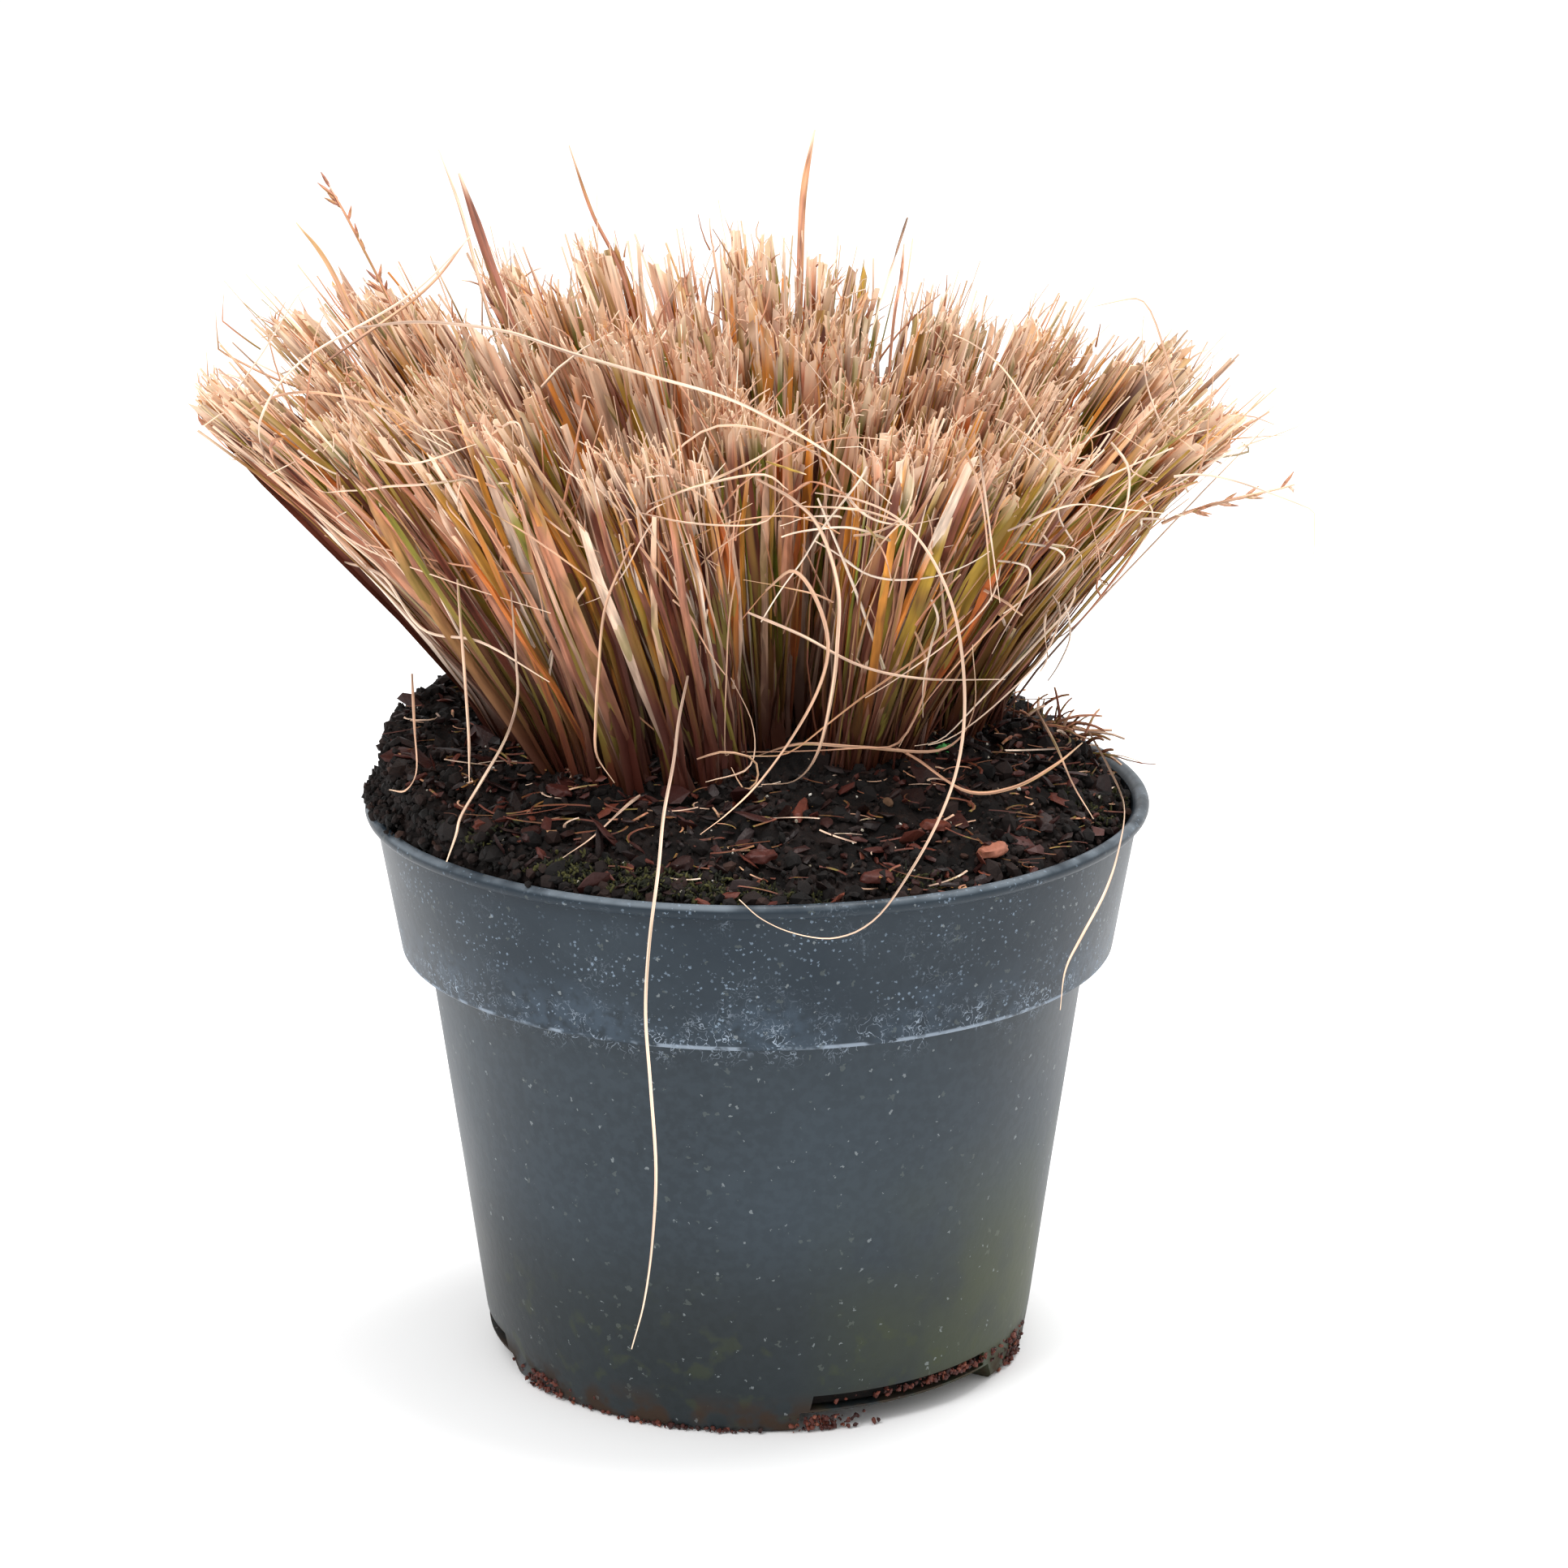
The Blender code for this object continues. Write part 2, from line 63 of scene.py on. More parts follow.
# %% [markdown]
# ## Tools for the whole lesson
# Blender's own modules make the objects, and numpy moves many points at once. A clump of grass is
# the same blade thousands of times over, so arrays are both shorter and faster than a loop that
# adds one blade at a time. One seeded generator feeds every random choice, which keeps the plant
# the same on each run.

# %% Modules and units
import math

import bmesh
import bpy
import numpy as np
from mathutils import Matrix, Vector, noise
from mathutils.bvhtree import BVHTree

MM = 0.001
chance = np.random.default_rng(20)
scene = bpy.context.scene
print("one millimetre is", MM, "Blender units")


# %% Small helpers for colours and objects
def srgb(red, green, blue, alpha=1.0):
    """A linear colour from the 0 to 255 numbers that a paint chart gives."""
    parts = [part / 255 for part in (red, green, blue)]
    linear = [p / 12.92 if p <= 0.04045 else ((p + 0.055) / 1.055) ** 2.4 for p in parts]
    return (*linear, alpha)


def link_object(name, data):
    made = bpy.data.objects.new(name, data)
    scene.collection.objects.link(made)
    return made


def mesh_from(bm, name):
    """Makes a mesh from edit-mesh data, and frees the data."""
    mesh = bpy.data.meshes.new(name)
    bm.to_mesh(mesh)
    bm.free()
    return mesh


def hand_over(piece, node=None):
    """Puts a piece on the root body, and lets it replace a solid."""
    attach(piece, "root")
    if node:
        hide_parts(node)
    return piece


def aim(thing, place, target):
    """Stands a camera or a lamp at a place and turns it to the target."""
    thing.location = place
    thing.rotation_euler = (Vector(target) - Vector(place)).to_track_quat("-Z", "Y").to_euler()


def unit(vectors):
    """The same directions with a length of one."""
    return vectors / np.maximum(np.linalg.norm(vectors, axis=-1, keepdims=True), 1e-9)


def polar(reach, angle):
    """(x, y) places from distances and angles, for one place or for many at once."""
    return np.stack([reach * np.cos(angle), reach * np.sin(angle)], axis=-1)


def triangles(piece):
    piece.data.calc_loop_triangles()
    return len(piece.data.loop_triangles)


print("a mid grey is", tuple(round(part, 3) for part in srgb(128, 128, 128)))

# %% [markdown]
# ## Camera
# A long lens from a little above the pot keeps its sides nearly parallel and still shows the mix.
# An empty with a Track To constraint would aim it too. Turning the direction of sight into a
# rotation once leaves nothing behind that could move later.

# %% Aim the camera
CAMERA_PLACE = (0.0, -1.0836, 0.455)
CAMERA_TARGET = (0.0065, 0.0, 0.1412)

camera = link_object("camera", bpy.data.cameras.new("camera"))
camera.data.lens = 106.9
camera.data.sensor_width = 36.0
aim(camera, CAMERA_PLACE, CAMERA_TARGET)
scene.camera = camera
print("camera looks down by", round(90 - math.degrees(camera.rotation_euler.x), 2), "degrees")

# %% [markdown]
# ## Studio
# The plant stands on a white sheet in an evenly lit white room. A white world gives the soft light
# from all round, which also makes the pot's sides pale where they turn away. One large lamp above
# and to the left adds the direction that lets folded blades show a bright and a dark half.


# %% Floor and light
PLANT_MIDDLE = (0.0, 0.0, 0.15)
FLOOR_RADIUS = 6.0


def add_lamp(name, place, size, watts):
    """A round soft lamp that shines on the middle of the plant."""
    lamp = bpy.data.lights.new(name, "AREA")
    lamp.shape = "DISK"
    lamp.size = size
    lamp.energy = watts
    aim(link_object(name, lamp), place, PLANT_MIDDLE)
    return lamp


def add_floor():
    bm = bmesh.new()
    bmesh.ops.create_circle(bm, cap_ends=True, segments=96, radius=FLOOR_RADIUS)
    return link_object("floor", mesh_from(bm, "floor"))


world = bpy.data.worlds.new("white_room")
world.use_nodes = True
background = world.node_tree.nodes["Background"]
background.inputs["Color"].default_value = srgb(255, 255, 255)
background.inputs["Strength"].default_value = 1.02
scene.world = world
scene.view_settings.view_transform = "Standard"

floor = add_floor()
key = add_lamp("key_lamp", (-0.9, -1.1, 1.7), 0.7, 15.0)
top = add_lamp("top_lamp", (0.3, 0.2, 1.8), 1.0, 28.0)
print("lamps:", key.energy, "W and", top.energy, "W")

# %% [markdown]
# ## Shader tools
# A material is a tree of nodes. Clicking nodes together suits one material; here eight are
# needed, so short functions add a node, do a sum, mix two colours and look a colour up on a ramp.


# %% Node helpers
def add_node(tree, kind, inputs=None, **settings):
    """Adds a shader node. A value in inputs is a plain number or colour, or a socket to link."""
    made = tree.nodes.new("ShaderNode" + kind)
    for name, value in settings.items():
        setattr(made, name, value)
    for name, value in (inputs or {}).items():
        if isinstance(value, bpy.types.NodeSocket):
            tree.links.new(value, made.inputs[name])
        else:
            made.inputs[name].default_value = value
    return made


def calculate(tree, operation, first, second=0.0, third=0.0):
    values = {0: first, 1: second, 2: third}
    return add_node(tree, "Math", values, operation=operation).outputs[0]


def times(tree, first, second):
    return calculate(tree, "MULTIPLY", first, second)


def remap(tree, value, start, end, low=0.0, high=1.0, smooth=False):
    """Turns the stretch from start to end into the stretch from low to high."""
    sockets = {"Value": value, "From Min": start, "From Max": end, "To Min": low, "To Max": high}
    kind = "SMOOTHSTEP" if smooth else "LINEAR"
    return add_node(tree, "MapRange", sockets, interpolation_type=kind).outputs["Result"]


def split(tree, vector):
    """The X, Y and Z of a vector."""
    return add_node(tree, "SeparateXYZ", {"Vector": vector}).outputs


def object_place(tree):
    return add_node(tree, "TexCoord").outputs["Object"]


def mix_colours(tree, share, first, second, blend="MIX"):
    """share 0 gives the first colour and share 1 the second."""
    sockets = {0: share, 6: first, 7: second}
    return add_node(tree, "Mix", sockets, data_type="RGBA", blend_type=blend).outputs[2]


def ramp(tree, value, stops):
    """Colours along a 0 to 1 value. stops is a list of (position, colour)."""
    made = add_node(tree, "ValToRGB", {"Fac": value})
    elements = made.color_ramp.elements
    while len(elements) < len(stops):
        elements.new(0.5)
    for element, (position, colour) in zip(elements, stops):
        element.position = position
        element.color = colour
    return made.outputs["Color"]


def new_material(name, roughness, specular):
    """An empty material: (material, its tree, its Principled BSDF)."""
    made = bpy.data.materials.new(name)
    made.use_nodes = True
    shader = made.node_tree.nodes["Principled BSDF"]
    shader.inputs["Roughness"].default_value = roughness
    shader.inputs["Specular IOR Level"].default_value = specular
    return made, made.node_tree, shader


def add_bump(tree, shader, height, strength, distance):
    bump = add_node(tree, "Bump", {"Height": height, "Strength": strength, "Distance": distance})
    tree.links.new(bump.outputs["Normal"], shader.inputs["Normal"])


print("node helpers are ready")

# %% [markdown]
# ## Shared effects
# Dust, specks, blotches and long fibres appear on the pot, on the mix and on the blades alike. A
# node group holds such an effect once, with its own sliders. Each material then places the group
# with other values, and a better recipe for specks improves all of them together.


# %% A group builder
def new_group(name, **inputs):
    """A shader node group that puts out one mask. An input is a number, or None for a vector."""
    tree = bpy.data.node_groups.new(name, "ShaderNodeTree")
    for label, value in inputs.items():
        kind = "NodeSocketVector" if value is None else "NodeSocketFloat"
        socket = tree.interface.new_socket(label, in_out="INPUT", socket_type=kind)
        if value is not None:
            socket.default_value = value
    tree.interface.new_socket("Mask", in_out="OUTPUT", socket_type="NodeSocketFloat")
    given = tree.nodes.new("NodeGroupInput").outputs
    return tree, given, tree.nodes.new("NodeGroupOutput").inputs["Mask"]


def place_group(tree, group, **inputs):
    return add_node(tree, "Group", inputs, node_tree=group).outputs["Mask"]


def sockets_of(group):
    return ", ".join(item.name for item in group.interface.items_tree)


print("groups can be built and placed")


# %% Blotches: broad soft patches
def build_blotches():
    tree, given, result = new_group("blotches", Vector=None, Scale=10.0, Detail=3.0, Low=0.4,
                                    High=0.6)
    sockets = {label: given[label] for label in ("Vector", "Scale", "Detail")}
    cloud = add_node(tree, "TexNoise", sockets).outputs["Fac"]
    tree.links.new(remap(tree, cloud, given["Low"], given["High"], smooth=True), result)
    return tree


BLOTCHES = build_blotches()
print("blotches:", sockets_of(BLOTCHES))


# %% Specks: scattered dots of several sizes
def build_specks():
    """Dots, some left out, whose edges are stirred so that they aren't round."""
    tree, given, result = new_group("specks", Vector=None, Scale=200.0, Size=0.2, Amount=0.3)
    stir = add_node(tree, "TexNoise", {"Vector": given["Vector"],
                                       "Scale": times(tree, given["Scale"], 2.2)})
    shift = add_node(tree, "VectorMath", {0: stir.outputs["Color"], 1: (0.5, 0.5, 0.5)},
                     operation="SUBTRACT").outputs[0]
    amount = calculate(tree, "DIVIDE", 1.1, given["Scale"])
    shift = add_node(tree, "VectorMath", {0: shift, "Scale": amount}, operation="SCALE").outputs[0]
    place = add_node(tree, "VectorMath", {0: given["Vector"], 1: shift}).outputs[0]
    cells = add_node(tree, "TexVoronoi", {"Vector": place, "Scale": given["Scale"]}).outputs
    pick = add_node(tree, "SeparateColor", {"Color": cells["Color"]}).outputs
    chosen = calculate(tree, "LESS_THAN", pick["Red"], given["Amount"])
    reach = times(tree, pick["Green"], given["Size"])
    inside = calculate(tree, "LESS_THAN", cells["Distance"], reach)
    tree.links.new(times(tree, chosen, inside), result)
    return tree


SPECKS = build_specks()
print("specks:", sockets_of(SPECKS))


# %% Fibres: fine streaks that run one way
def build_fibres():
    tree, given, result = new_group("fibres", Vector=None, Across=400.0, Along=6.0)
    x, y, _ = split(tree, given["Vector"])
    stretched = add_node(tree, "CombineXYZ", {"X": times(tree, x, given["Across"]),
                                              "Y": times(tree, y, given["Along"])})
    strands = add_node(tree, "TexNoise", {"Vector": stretched.outputs["Vector"], "Scale": 1.0,
                                          "Detail": 2.0})
    tree.links.new(strands.outputs["Fac"], result)
    return tree


FIBRES = build_fibres()
print("fibres:", sockets_of(FIBRES))


# %% Band: a soft-edged stretch of any value, such as a height
def build_band():
    tree, given, result = new_group("band", Value=0.0, From=0.0, To=1.0, Softness=0.1)
    below = calculate(tree, "SUBTRACT", given["From"], given["Softness"])
    above = calculate(tree, "ADD", given["To"], given["Softness"])
    rise = remap(tree, given["Value"], below, given["From"], smooth=True)
    fall = remap(tree, given["Value"], above, given["To"], smooth=True)
    tree.links.new(times(tree, rise, fall), result)
    return tree


BAND = build_band()
print("band:", sockets_of(BAND))


# %% Floor finish
def floor_finish():
    made, tree, shader = new_material("white_sheet", 0.9, 0.1)
    cloud = place_group(tree, BLOTCHES, Vector=object_place(tree), Scale=0.8, Low=0.2, High=0.8)
    colour = mix_colours(tree, cloud, srgb(250, 250, 250), srgb(255, 255, 255))
    tree.links.new(colour, shader.inputs["Base Color"])
    return made


floor.data.materials.append(floor_finish())
print("floor wears", floor.data.materials[0].name)

# %% [markdown]
# ## The pot
# A nursery pot is blown or pressed thin from recycled plastic: a thick lip, a wide collar so that
# pots stack, and a tapered body on three feet. A turned shape could be a Screw modifier on a
# profile or a Spin. Computing the rings directly gives one more freedom: each ring can be a little
# out of round, as a soft pot full of wet mix always is.

# %% Pot sizes
POT_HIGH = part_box("pot")[1]
RIM_RADIUS = POT_HIGH[0]
POT_HEIGHT = POT_HIGH[2]
WALL = 1.4 * MM
BEAD_HEIGHT = 3.4 * MM
COLLAR_TOP_RADIUS = RIM_RADIUS - 2.5 * MM
COLLAR_FOOT_RADIUS = RIM_RADIUS - 8.0 * MM
BODY_TOP_RADIUS = RIM_RADIUS - 14.4 * MM
FOOT_RADIUS = RIM_RADIUS - 28.6 * MM
LEDGE = POT_HEIGHT - 37.0 * MM
FLOOR_TOP = 6.6 * MM
SEGMENTS = 240
ON_AXIS = 0.001 * MM
print("pot:", round(2 * RIM_RADIUS / MM), "mm across,", round(POT_HEIGHT / MM), "mm high")


# %% Rings and lathe
def arc(centre, radius, start, end, steps):
    """Points on an arc, from the start angle to the end angle in degrees."""
    found = []
    for i in range(steps + 1):
        angle = math.radians(start + (end - start) * i / steps)
        found.append((centre[0] + radius * math.cos(angle), centre[1] + radius * math.sin(angle)))
    return found


def lathe(name, profile, wobble):
    """A closed body from a profile that starts and ends on the axis."""
    bm = bmesh.new()
    rings = []
    for radius, height in profile:
        ring = []
        for i in range(SEGMENTS if radius > ON_AXIS else 1):
            angle = math.tau * i / SEGMENTS
            reach, level = wobble(radius, height, angle) if radius > ON_AXIS else (0.0, height)
            ring.append(bm.verts.new((reach * math.cos(angle), reach * math.sin(angle), level)))
        rings.append(ring)
    for below, above in zip(rings, rings[1:]):
        for i in range(SEGMENTS):
            j = (i + 1) % SEGMENTS
            corners = [below[i % len(below)], below[j % len(below)]]
            corners += [above[j % len(above)], above[i % len(above)]]
            bm.faces.new(list(dict.fromkeys(corners)))
    bmesh.ops.recalc_face_normals(bm, faces=bm.faces)
    return mesh_from(bm, name)


def body_radius(height):
    return FOOT_RADIUS + (BODY_TOP_RADIUS - FOOT_RADIUS) * height / LEDGE


def pot_profile():
    """The pot's section, from the middle of the underside out, up, over the lip and down inside."""
    bead = BEAD_HEIGHT / 2
    foot = 2.2 * MM
    turn = 1.0 * MM
    collar_low, collar_high = LEDGE + turn, POT_HEIGHT - BEAD_HEIGHT
    inner_top = COLLAR_TOP_RADIUS - WALL
    section = [(0.0, 0.0), (FOOT_RADIUS * 0.6, 0.0)]
    section += arc((FOOT_RADIUS - foot, foot), foot, -90, -8, 5)
    for height in np.linspace(foot, LEDGE, 13)[1:-1]:
        section.append((body_radius(height), height))
    section += [(BODY_TOP_RADIUS, LEDGE - 0.4 * MM), (BODY_TOP_RADIUS + 0.5 * MM, LEDGE)]
    section += arc((COLLAR_FOOT_RADIUS - turn, LEDGE + turn), turn, -90, 0, 4)
    for share in np.linspace(0, 1, 9)[1:-1]:
        section.append((COLLAR_FOOT_RADIUS + (COLLAR_TOP_RADIUS - COLLAR_FOOT_RADIUS) * share,
                        collar_low + (collar_high - collar_low) * share))
    section.append((COLLAR_TOP_RADIUS - 0.1 * MM, collar_high - 0.1 * MM))
    section += arc((RIM_RADIUS - bead, POT_HEIGHT - bead), bead, -70, 110, 9)
    section += [(inner_top, POT_HEIGHT - bead), (inner_top - 0.2 * MM, collar_high),
                (COLLAR_FOOT_RADIUS - WALL, LEDGE + 2.4 * MM),
                (BODY_TOP_RADIUS - WALL, LEDGE + 0.6 * MM),
                (body_radius(FLOOR_TOP) - WALL, FLOOR_TOP), (0.0, FLOOR_TOP)]
    return section


def soft_pot(radius, height, angle):
    """A full pot bulges a little and its lip waves; its feet stay flat and round."""
    share = height / POT_HEIGHT
    bulge = 0.25 * MM * math.sin(2 * angle + 0.6) + 0.12 * MM * math.sin(5 * angle + 2.0)
    dent = noise.noise(Vector((math.cos(angle), math.sin(angle), share * 1.5)) * 1.6)
    wave = 0.22 * MM * math.sin(3 * angle + 1.0) * max(0.0, share - 0.8) * 5
    fade = min(1.0, share * 3)
    return radius - 0.3 * MM * fade + (bulge + 0.3 * MM * dent) * fade * 0.5, height - abs(wave)


print("the pot's section has", len(pot_profile()), "points")

# %% [markdown]
# The underside is hollowed by three channels that run out between the feet, so water can leave.
# They are cut with Booleans. The channel's ends slope, because a mould needs a taper to let go.


# %% Cut the drain channels and build the pot
CHANNELS = (-57.5, 62.5, 182.5)  # angles in degrees, as in all the lines about channels
CHANNEL_HALF = 28
CHANNEL_SLOPE = 4
CHANNEL_HEIGHT = 5.2 * MM
HUB_RADIUS = 22.4 * MM
SLOT_HALF = 22
SLOT_HEIGHT = 3.0 * MM


def sector_block(name, inner, outer, middle, halves, levels):
    """A block between two radii and two angles, whose ends may slope from one level to the next."""
    bm = bmesh.new()
    layers = []
    for half, level in zip(halves, levels):
        loop = arc((0, 0), outer, middle - half, middle + half, 10)
        loop += arc((0, 0), inner, middle + half, middle - half, 10)
        layers.append([bm.verts.new((x, y, level)) for x, y in loop])
    low, high = layers
    for i in range(len(low)):
        bm.faces.new((low[i - 1], low[i], high[i], high[i - 1]))
    bm.faces.new(low[::-1])
    bm.faces.new(high)
    bmesh.ops.recalc_face_normals(bm, faces=bm.faces)
    return link_object(name, mesh_from(bm, name))


def cut_away(piece, cutters):
    """Cuts the cutters out of the piece, applies the cuts and removes the cutters."""
    for cutter in cutters:
        boolean = piece.modifiers.new(cutter.name, "BOOLEAN")
        boolean.object = cutter
        boolean.solver = "EXACT"
    graph = bpy.context.evaluated_depsgraph_get()
    mesh = bpy.data.meshes.new_from_object(piece.evaluated_get(graph), depsgraph=graph)
    piece.modifiers.clear()
    piece.data = mesh
    for cutter in cutters:
        bpy.data.objects.remove(cutter, do_unlink=True)


def build_pot():
    piece = link_object("nursery_pot", lathe("nursery_pot", pot_profile(), soft_pot))
    cutters = []
    for i, middle in enumerate(CHANNELS):
        cutters.append(sector_block(
            f"channel_{i}", HUB_RADIUS, RIM_RADIUS, middle,
            (CHANNEL_HALF, CHANNEL_HALF - CHANNEL_SLOPE), (-5 * MM, CHANNEL_HEIGHT)))
        cutters.append(sector_block(
            f"slot_{i}", FOOT_RADIUS - 8 * MM, RIM_RADIUS, middle,
            (SLOT_HALF, SLOT_HALF * 0.97), (FLOOR_TOP - 0.8 * MM, FLOOR_TOP + SLOT_HEIGHT)))
    cut_away(piece, cutters)
    piece.data.shade_smooth()
    piece.data.set_sharp_from_angle(angle=math.radians(35))
    return hand_over(piece, "pot")


pot = build_pot()
print("pot triangles:", triangles(pot))

# %% [markdown]
# ## Weathered plastic
# The plastic is a slate grey, dyed through. What makes it look real is what lies on it: a dusty
# film on the collar, crusts of lime where drips stopped at the collar's edge, pale splash marks,
# a green bloom low on the shaded side and earth at the foot. Each is a mask that mixes in a
# colour. Painting an image would do it too, but masks stay sharp at any distance.


# %% Pot finish
def plastic_finish():
    made, tree, shader = new_material("weathered_plastic", 0.42, 0.24)
    place = object_place(tree)
    x, _, height = split(tree, place)

    def patches(scale, low, high, detail=3.0):
        return place_group(tree, BLOTCHES, Vector=place, Scale=scale, Low=low, High=high,
                           Detail=detail)

    def dots(scale, size, amount):
        return place_group(tree, SPECKS, Vector=place, Scale=scale, Size=size, Amount=amount)

    def between(start, end, softness):
        """A level stretch of the pot; a start of -1 leaves its lower side open."""
        return place_group(tree, BAND, Value=height, From=start, To=end, Softness=softness)

    def both(*masks):
        result = masks[0]
        for mask in masks[1:]:
            result = times(tree, result, mask)
        return result

    def coat(mask, share, *paint):
        """Lays a share of a paint over the colour so far."""
        nonlocal colour
        colour = mix_colours(tree, times(tree, mask, share), colour, srgb(*paint))

    broad = patches(14, 0.3, 0.7)
    colour = mix_colours(tree, broad, srgb(34, 43, 50), srgb(44, 54, 62))
    mottle = patches(420, 0.35, 0.65, 2.0)
    coat(mottle, 0.22, 58, 69, 78)
    collar = between(LEDGE + 1.0 * MM, POT_HEIGHT, 1.5 * MM)
    coat(both(collar, calculate(tree, "MULTIPLY_ADD", patches(26, 0.35, 0.7), 0.4, 0.5)), 1.0,
         22, 34, 44)
    haze = both(between(LEDGE, LEDGE + 6 * MM, 12 * MM), patches(48, 0.38, 0.66), collar)
    coat(both(haze, patches(330, 0.3, 0.6)), 0.4, 68, 84, 100)
    coat(between(-1.0, 26 * MM, 34 * MM), 0.6, 26, 30, 28)
    right = remap(tree, x, 8 * MM, 62 * MM)
    coat(both(between(-1.0, 22 * MM, 58 * MM), patches(30, 0.36, 0.62), right), 0.8, 62, 68, 42)
    coat(both(between(-1.0, 16 * MM, 30 * MM), patches(150, 0.55, 0.68)), 0.35, 58, 64, 34)
    coat(dots(420, 0.34, 0.2), 0.1, 150, 158, 146)
    coat(dots(620, 0.3, 0.12), 0.3, 170, 178, 180)
    coat(both(dots(1250, 0.5, 0.3), collar, patches(80, 0.35, 0.65)), 0.55, 132, 150, 168)
    veins = add_node(tree, "TexNoise", {"Vector": place, "Scale": 380, "Detail": 2.0,
                                        "Distortion": 1.2}).outputs["Fac"]
    veins = calculate(tree, "COMPARE", veins, 0.5, 0.016)
    zone = calculate(tree, "ADD", both(between(LEDGE, LEDGE + 2.5 * MM, 8 * MM), 0.9),
                     both(collar, patches(60, 0.5, 0.75), 0.4))
    crust = both(veins, zone, patches(130, 0.42, 0.6), 0.8)
    edge_crust = both(between(LEDGE - 0.2 * MM, LEDGE + 0.9 * MM, 0.5 * MM),
                      patches(170, 0.42, 0.58), 0.55)
    crust = calculate(tree, "MAXIMUM", crust, edge_crust)
    coat(crust, 0.8, 176, 190, 206)
    # The top of the lip is painted lighter: partly wear along the bead, partly a painted highlight
    # where the light falls on it.
    lip = both(between(POT_HEIGHT - 0.7 * MM, 1.0, 0.8 * MM), patches(90, 0.3, 0.7))
    coat(lip, 0.35, 150, 162, 172)
    earth = both(between(-1.0, 3 * MM, 9 * MM), patches(120, 0.38, 0.58))
    coat(earth, 0.85, 58, 42, 30)
    tree.links.new(colour, shader.inputs["Base Color"])
    dull = calculate(tree, "MAXIMUM", both(crust, 0.5), both(earth, 0.45))
    gloss = calculate(tree, "ADD", calculate(tree, "MULTIPLY_ADD", broad, 0.12, 0.36), dull)
    tree.links.new(gloss, shader.inputs["Roughness"])
    relief = calculate(tree, "MULTIPLY_ADD", mottle, 0.12, crust)
    add_bump(tree, shader, relief, 0.5, 0.25 * MM)
    return made


pot.data.materials.clear()
pot.data.materials.append(plastic_finish())
print("pot wears", pot.data.materials[0].name)

# %% [markdown]
# ## The potting mix
# The mound is a ball of roots, peat and shredded bark. Its large shape is in the frame, so a ray
# dropped on the frame's solid gives the height of the ground at any place. One dense round grid is
# laid on that ground and roughened with layered noise. A Displace modifier would do the same, but
# here the edge also has to slump against the wall of the pot.

# %% Ground height from the frame
bpy.context.view_layer.update()
graph = bpy.context.evaluated_depsgraph_get()
cad_mix = BVHTree.FromObject(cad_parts["potting_mix"], graph)
MIX_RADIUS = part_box("potting_mix")[1][0] - 0.4 * MM
SLUMP_WIDTH = 5 * MM
SLUMP_DEPTH = 3.2 * MM
DOWN = Vector((0.0, 0.0, -1.0))


def ground(x, y):
    """Height of the mound at (x, y), taken from the nearest place inside its edge."""
    reach = math.hypot(x, y)
    if reach > MIX_RADIUS:
        x, y = x * MIX_RADIUS / reach, y * MIX_RADIUS / reach
    hit = cad_mix.ray_cast(Vector((x, y, POT_HEIGHT * 2)), DOWN)[0]
    return hit.z if hit else POT_HEIGHT


print("ground in the middle:", round(ground(0, 0) / MM, 1), "mm")


# %% The mound itself
def surface(x, y):
    """Height of the crumbly surface: lumps of several sizes on the ground, slumped at its edge."""
    place = Vector((x, y, 0.0))
    coarse = noise.noise(place * 80) * 2.2
    lumps = noise.turbulence(place * 210, 3, True) * 3.4
    fine = noise.noise(place * 900) * 0.4
    edge = max(0.0, 1 + (math.hypot(x, y) - MIX_RADIUS) / SLUMP_WIDTH)
    return ground(x, y) + (coarse + lumps + fine - 2.2) * MM - edge ** 2 * SLUMP_DEPTH


def mix_side():
    """The mound's section below its edge, down the inside of the pot and along its floor."""
    gap = 0.3 * MM
    return [
        (COLLAR_TOP_RADIUS - WALL - gap, POT_HEIGHT - BEAD_HEIGHT - 1.0 * MM),
        (COLLAR_FOOT_RADIUS - WALL - gap, LEDGE + 2.6 * MM),
        (BODY_TOP_RADIUS - WALL - gap, LEDGE + 0.5 * MM),
        (body_radius(FLOOR_TOP) - WALL - gap, FLOOR_TOP + gap)]


def build_mound(rings=84, segments=360, wall_rings=7):
    """A round grid on the ground, then rings down the wall of the pot, then its floor."""
    bm = bmesh.new()
    turns = [math.tau * j / segments for j in range(segments)]
    headings = [Vector((math.cos(turn), math.sin(turn), 0.0)) for turn in turns]
    centre = bm.verts.new((0.0, 0.0, ground(0.0, 0.0)))
    loops = []
    for i in range(1, rings + 1):
        reach = MIX_RADIUS * i / rings
        loop = []
        for heading in headings:
            x, y = heading.xy * reach
            height = surface(x, y)
            side = noise.noise(Vector((x, y, height)) * 300)
            pull = 1 - (1 + side) * 1.3 * MM / reach * (reach / MIX_RADIUS) ** 3
            loop.append(bm.verts.new((x * pull, y * pull, height)))
        loops.append(loop)
    (wall_radius, wall_foot), *lower = mix_side()
    edge = [vert.co.z for vert in loops[-1]]
    for step in range(1, wall_rings + 1):
        loop = []
        for heading, top_height in zip(headings, edge):
            place = heading * wall_radius
            place.z = top_height + (wall_foot - top_height) * step / wall_rings
            place.xy *= 1 - (1 + noise.noise(place * 260)) * 1.4 * MM / wall_radius
            loop.append(bm.verts.new(place))
        loops.append(loop)
    for radius, height in lower:
        loops.append([bm.verts.new((*heading.xy * radius, height)) for heading in headings])
    for j in range(segments):
        bm.faces.new((centre, loops[0][j - 1], loops[0][j]))
        for inner, outer in zip(loops, loops[1:]):
            bm.faces.new((inner[j - 1], outer[j - 1], outer[j], inner[j]))
    bm.faces.new(loops[-1][::-1])
    mesh = mesh_from(bm, "potting_mix_mound")
    mesh.shade_smooth()
    return hand_over(link_object(mesh.name, mesh), "potting_mix")


